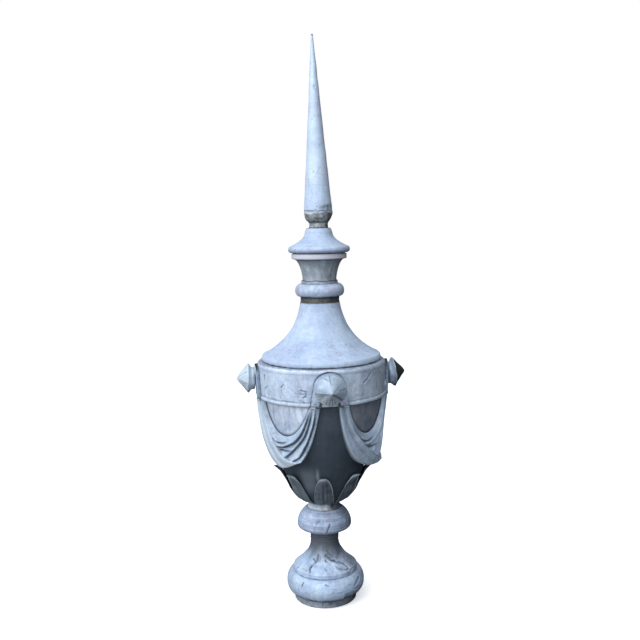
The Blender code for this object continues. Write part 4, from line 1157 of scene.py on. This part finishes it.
# %% Swags
swag_zinc = weathered_zinc("pressed_zinc_drapery", "#bfd1e4", "#a0b4ca", stain="#aab6c2", dirt_and_shade="#1d242b", clouds=80,
                           rings=0.0, runs=0.12, specks=0.26)
MOULD_VALUES = ("grime_and_shade", "wear_and_highlight", "front", "corner", "hem", "band_shadow", "band")
SWAG_GAP, SWAG_OFF, DENT_DEEP, DENT_WAVES = 0.0008, 0.0012, 0.0011, 26
CORNER_HALF, HEM_AT, HEM_HALF = 0.11, 0.40, 0.13
mould = bmesh.new()
for name in MOULD_VALUES:
    mould.verts.layers.float.new(name)
grime_and_shade, wear_and_highlight, front, corner, hem, band_shadow, band = (mould.verts.layers.float[name] for name in MOULD_VALUES)
bmesh.ops.create_grid(mould, x_segments=190, y_segments=110, size=0.5)
bmesh.ops.solidify(mould, geom=mould.faces[:], thickness=1.0)
for vert in mould.verts:
    s, t, behind = vert.co.x + 0.5, vert.co.y + 0.5, abs(vert.co.z) > 0.5
    degrees_round, drop = across_swag(s, t)
    height = drum_low - SWAG_GAP - drop
    wall = radius_of(bowl_wall, height - bowl_low) + SWAG_OFF
    # The back and the walls get painted shade.
    shaped = (0.0, 0.75, 0.0, 0.0) if behind else drape(s, t, degrees_round, drop, wall)
    out, dirt_and_shade, vert[band_shadow], vert[band] = shaped
    vert.co = on_wall(radians(degrees_round), wall + out, height)
    # A painted shadow under the drum's edge, and a painted highlight along the band's lower edge.
    vert[grime_and_shade] = max(dirt_and_shade, 0.4 * exp(-((drop / 0.006) ** 2)))
    vert[wear_and_highlight] = 0.0 if behind else 0.6 * max(0.0, (t - 0.97) / 0.03) * (s < CORNER_SHARE)
    vert[front] = 0.0 if behind else 1.0
    vert[corner] = exp(-(((s - CORNER_SHARE) / CORNER_HALF) ** 2)) * t**3
    vert[hem] = exp(-(((s - HEM_AT) / HEM_HALF) ** 2)) * t**3

# For each swag: its corner's lift and its hem's sag in metres, painted shadow beside its band, painted light on its
# band.
HANDLING = {
    "front": (-0.012, 0.0, 1.0, 0.0), "right": (0.0, 0.0, 0.7, 0.1),
    "back": (0.0, 0.0, 0.7, 0.1), "left": (0.018, 0.0035, 0.3, 0.55),
}
for number, (side, (lift, sag, band_shadow_strength, band_light)) in enumerate(HANDLING.items()):
    swag = mould.copy()
    grime_and_shade, wear_and_highlight, front, corner, hem, band_shadow, band = (swag.verts.layers.float[name] for name in MOULD_VALUES)
    for vert in swag.verts:
        vert[grime_and_shade] = max(vert[grime_and_shade], band_shadow_strength * vert[band_shadow])
        vert[wear_and_highlight] = max(vert[wear_and_highlight], band_light * vert[band])
        lifted = vert.co.z + lift * vert[corner] - sag * vert[hem]
        if vert[front] < 0.5:
            drawn_in = radius_of(bowl_wall, lifted - bowl_low) - radius_of(bowl_wall, vert.co.z - bowl_low)
            vert.co.xy *= 1 + drawn_in / hypot(vert.co.x, vert.co.y)
        vert.co.z = lifted
        dent = DENT_DEEP * noise.noise(vert.co * DENT_WAVES + Vector((number * 7, 0, 0))) * vert[front]
        vert.co.xy *= 1 + dent / hypot(vert.co.x, vert.co.y)
    bmesh.ops.rotate(swag, verts=swag.verts, cent=(0, 0, 0), matrix=Matrix.Rotation(turns[side], 3, "Z"))
    following = SIDE_NAMES[(number + 1) % 4]
    finish(swag, f"swag_{side}_to_{following}", swag_zinc, sharp=55)
mould.free()

# %% [markdown]
# ## The lid
# The bell sweeps from a rolled rim up to a narrow neck. A stained sleeve of bare solder joins it to
# a round knop, and a waisted neck with a flat band carries the hat.

# %% Bell
bell_low, bell_height = level_of("bell")
bell_profile = [(0, 0), (0.2275, 0.0)]
bell_profile += roll((0.2275, 0.0), (0.2225, 0.0255), 0.2323, 0.45, 10)
bell_profile += curve((0.2225, 0.0255), ((0.1634, 0.0566), (0.0944, 0.1115)), (0.0765, bell_height), 48)
bell_profile += [(0, bell_height)]
bell = spin_profile(bell_profile, 320, 0.0035, bell_low)
# The scratches lie on the sweep, above the rolled rim.
age(bell, bell_profile[13:-1], bell_low, (0.0014, 0.12, 30.0), [
    ([(-28.1, 1014), (-26.6, 1038)], 3.0, 0.9, 0.3), ([(34, 1012), (40, 1003)], 2.6, 0.8, 0.35),
    ([(48, 1010), (52, 1002)], 2.6, 0.8, 0.3), ([(64, 1125), (68, 1105), (71, 1089)], 9.0, 0.5, 0.28),
    ([(-0.9, 1108), (30, 1108)], 1.4, 0.4, 0.2), ([(-40, 1089), (40, 1089)], 1.4, 0.4, 0.2),
    ([(12, 1040), (18, 1034)], 2.4, 0.8, 0.2), ([(-8, 1060), (-2, 1056)], 2.0, 0.5, 0.15),
    ([(150, 1040), (170, 1060)], 3.0, 1.0, 0.3), ([(240, 1020), (252, 1030)], 3.0, 1.0, 0.3),
], seams=[(0.001, 0.006, 1.0), (bell_height, 0.003, 0.7, 0.003)])
bell_highlight = bell.verts.layers.float["wear_and_highlight"]
# The rolled rim gets a painted highlight.
ROLL_UP, ROLL_REACH = 0.016, 0.006
for vert in bell.verts:
    on_roll = exp(-(((vert.co.z - bell_low - ROLL_UP) / ROLL_REACH) ** 2))
    vert[bell_highlight] = 0.3 * on_roll * (0.6 + noise.noise(vert.co * 30))
bell_zinc = weathered_zinc("spun_zinc", "#bdcfe4", "#a3b6d2", stain="#b0b5cf", clouds=110, rings=0.05, runs=0.1,
                           specks=0.16, roughness=0.8, metallic=0.12)
finish(bell, "bell", bell_zinc, sharp=50)

# %% Sleeve and lid knop
sleeve_low, sleeve_height = level_of("sleeve")
sleeve_profile = [(0, 0), (0.0758, 0.0), (0.0752, 0.003), (0.0748, 0.012), (0.0752, sleeve_height)]
sleeve_profile += [(0, sleeve_height)]
sleeve = turned(sleeve_profile, sleeve_low, 160, 0.002, (0.0014, 0.015, 31.0), [],
                seams=[(sleeve_height, 0.005, 0.9, 0.002)])
old_solder = weathered_zinc("stained_old_solder", "#6a6b66", "#47494a", stain="#5e5a50", dirt_and_shade="#191b1b", clouds=22,
                            runs=0.25, specks=0.4, crazing=0.4, highlight="#8b8a80", roughness=0.6)
finish(sleeve, "sleeve", old_solder)

ring_low, ring_height = level_of("lid_knop")
ring_profile = [(0, 0), (0.0790, 0.0)] + roll((0.0790, 0.0), (0.0735, ring_height), 0.0953, 0.45)
ring_profile += [(0, ring_height)]
ring = turned(ring_profile, ring_low, 192, 0.0025, (0.0012, 0.04, 32.0), [
    ([(-8, 1226), (-3, 1236)], 4.0, 0.5, 0.3), ([(35, 1222), (50, 1226)], 3.0, 0.5, 0.3),
    ([(-50, 1230), (-45, 1240)], 3.0, 0.4, 0.25), ([(140, 1230), (160, 1236)], 3.0, 0.5, 0.3),
], seams=[(0.0, 0.004, 0.6)])
lilac_zinc = weathered_zinc("lilac_stained_zinc", "#c6d5e9", "#a9b9d1", stain="#b9b1d0", clouds=45, rings=0.05)
finish(ring, "lid_knop", lilac_zinc)

# %% Waisted neck
neck_low, neck_height = level_of("waisted_neck")
BAND_LOW, BAND_RADIUS = neck_height - 0.019, 0.1064
neck_profile = [(0, 0), (0.0702, 0.0), (0.0707, 0.001), (0.0707, 0.0095), (0.0698, 0.011), (0.0658, 0.0135)]
neck_profile += curve((0.0658, 0.0135), ((0.0631, 0.0236), (0.0769, 0.0873)), (0.094, BAND_LOW - 0.003), 28)
neck_profile += [(0.0975, BAND_LOW - 0.0012), (0.1045, BAND_LOW), (BAND_RADIUS, BAND_LOW + 0.003)]
neck_profile += [(BAND_RADIUS, neck_height - 0.0015), (0.1055, neck_height), (0, neck_height)]
neck = turned(neck_profile, neck_low, 224, 0.0026, (0.0010, 0.05, 33.0), [
    ([(8, 1290), (9, 1345)], 2.2, 0.3, 0.3), ([(18, 1290), (20, 1345)], 2.4, 0.3, 0.4),
    ([(28, 1285), (30, 1345)], 2.6, 0.3, 0.45), ([(40, 1290), (43, 1345)], 3.2, 0.3, 0.5),
    ([(-14, 1300), (-14, 1340)], 1.8, 0.3, 0.25), ([(-30, 1290), (-31, 1330)], 2.2, 0.3, 0.25),
    ([(-26, 1338)], 2.6, 0.6, 0.5), ([(100, 1290), (101, 1345)], 3, 0.3, 0.4),
    ([(180, 1300), (181, 1345)], 3, 0.3, 0.4), ([(250, 1290), (251, 1345)], 3, 0.3, 0.4),
], seams=[(0.0115, 0.003, 0.85, 0.003), (0.0, 0.002, 0.6), (neck_height, 0.004, 0.95, 0.003),
          (BAND_LOW - 0.002, 0.004, 0.5)])
streaked = weathered_zinc("streaked_neck_zinc", "#b3bec8", "#919da8", stain="#a3acb6", runs=0.35, clouds=50,
                          rings=0.0)
band_foot = neck_low + BAND_LOW
neck_zinc = two_tone(streaked, "#cfcfda", band_foot - 0.001, band_foot + 0.001, ragged=0.001)
finish(neck, "waisted_neck", neck_zinc)

# %% [markdown]
# ## The hat, the cup and the spire
# A broad-brimmed hat sheds the rain. On it stands a small cup, blotched with old solder, and out of
# the cup grows the cone, rolled from one sheet. The cone is the palest part of all and leans by
# about a degree; only its blunt tip is dark.

# %% Hat
hat_low, hat_height = level_of("hat")
hat_profile = [(0, 0), (0.1005, 0.0), (0.1005, 0.0028), (0.1055, 0.0034)]
hat_profile += roll((0.1055, 0.0034), (0.1095, 0.029), 0.1193, 0.46, 10)
hat_profile += curve((0.1095, 0.029), ((0.0403, 0.0621), (0.0609, 0.0741)), (0.048, hat_height - 0.004), 32)
hat_profile += [(0.0472, hat_height - 0.0012), (0.0455, hat_height), (0, hat_height)]
hat = turned(hat_profile, hat_low, 256, 0.0028, (0.0012, 0.06, 34.0), [],
             seams=[(0.001, 0.004, 1.0, 0.002), (hat_height, 0.0022, 0.6, 0.001)])
hat_zinc = weathered_zinc("rain_washed_zinc", "#bfd0e4", "#a7bad5", stain="#b6bbd2", rings=0.05, runs=0.08,
                          specks=0.16)
finish(hat, "hat", hat_zinc, sharp=50)

# %% Cup
cup_low, cup_height = level_of("spire_cup")
CUP_RADIUS = 0.0543
cup_profile = [(0, 0), (0.0385, 0.0), (0.038, 0.002), (0.0365, 0.006), (0.0362, 0.017), (0.0385, 0.0225)]
cup_profile += curve((0.0385, 0.0225), ((0.0475, 0.031), (CUP_RADIUS, 0.042)), (CUP_RADIUS, cup_height), 16)
cup_profile += [(0, cup_height)]
# The right side gets painted shade.
cup = turned(cup_profile, cup_low, 160, 0.002, (0.0030, 0.018, 35.0), [
    ([(30, 1525), (60, 1530)], 12, 0.5, 0.55), ([(50, 1540), (75, 1520)], 12, 0.5, 0.6),
    ([(-10, 1516), (20, 1512)], 5, 0.5, 0.5), ([(-60, 1538), (-40, 1536), (-20, 1540)], 2.5, 0.8, 0.9),
    ([(-8, 1541), (2, 1535), (12, 1540), (30, 1537)], 2.5, 0.8, 0.95), ([(160, 1536), (200, 1540)], 3, 0.8, 0.8),
    ([(120, 1520), (150, 1528)], 9, 0.5, 0.5),
], seams=[(cup_height, 0.005, 0.9, 0.006), (0.0, 0.003, 1.0, 0.001), (0.021, 0.003, 0.8, 0.002)],
    soiled=[(15, 60, 0.75)])
blotched = weathered_zinc("blotched_solder", "#b5bbbd", "#6a7175", stain="#7b756b", dirt_and_shade="#15181a", clouds=24,
                          runs=0.1, specks=0.45, roughness=0.58)
cup_top = cup_low + cup_height
finish(cup, "spire_cup", two_tone(blotched, "#b9c8d6", cup_top - 0.012, cup_top - 0.002, 0.012))

# %% Spire
SPIRE_LEAN, TIP_RADIUS = radians(0.9), 0.0038
spire_low, spire_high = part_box("spire")
spire_long = spire_high.z - spire_low.z - 0.0006
spire_profile = [(0, 0), (CUP_RADIUS - 0.0004, 0.0)]
spire_profile += [(CUP_RADIUS + (TIP_RADIUS - CUP_RADIUS) * share - 0.0004 * sin(pi * share),
                   spire_long * share * 0.994) for share in (i / 40 for i in range(1, 41))]
spire_profile += [(0.0036, spire_long * 0.997), (0.0022, spire_long * 0.9992), (0, spire_long)]
spire = turned(spire_profile, 0.0, 128, 0.006, (0.0014, 0.05, 36.0), [
    ([(-24, 421)], 3.0, 0.5, 0.7), ([(-10, 455), (0, 470), (12, 462)], 3.5, 0.4, 0.35),
    ([(20, 440), (30, 452)], 2.5, 0.3, 0.3), ([(-30, 490), (-10, 500)], 2.5, 0.3, 0.25),
    ([(30, 380), (34, 400)], 2.5, 0.3, 0.3), ([(-80, 356), (80, 356)], 1.0, 0.3, 0.3),
    ([(14, 12), (40, 16), (66, 24)], 9.0, 0.5, 0.75), ([(40, 8), (75, 14)], 10.0, 0.5, 0.7),
    ([(-4, 16), (10, 10)], 3.5, 0.3, 0.6), ([(-55, 14), (-48, 18)], 2.0, 0.3, 0.6),
    ([(180, 4), (180, 350)], 1.6, 0.6, 0.45), ([(150, 20), (175, 12)], 9, 0.5, 0.6),
    ([(-20, 620), (10, 636)], 2.0, 0.2, 0.4), ([(0, 180), (20, 184)], 2.0, 0.3, 0.12),
    ([(-30, 260), (-24, 268)], 2.0, 0.3, 0.15),
], seams=[(0.001, 0.0035, 0.9, 0.004), (spire_long, 0.007, 1.0, 0.0)])
leaning = Matrix.Translation((0, 0, spire_low.z)) @ Matrix.Shear("XY", 4, (-tan(SPIRE_LEAN), 0))
bmesh.ops.transform(spire, matrix=leaning, verts=spire.verts)
spire_zinc = weathered_zinc("bleached_zinc", "#c8daed", "#b8cce4", stain="#c4cce2", clouds=100, rings=0.04,
                            runs=0.08, specks=0.12)
finish(spire, "spire", spire_zinc, sharp=50)
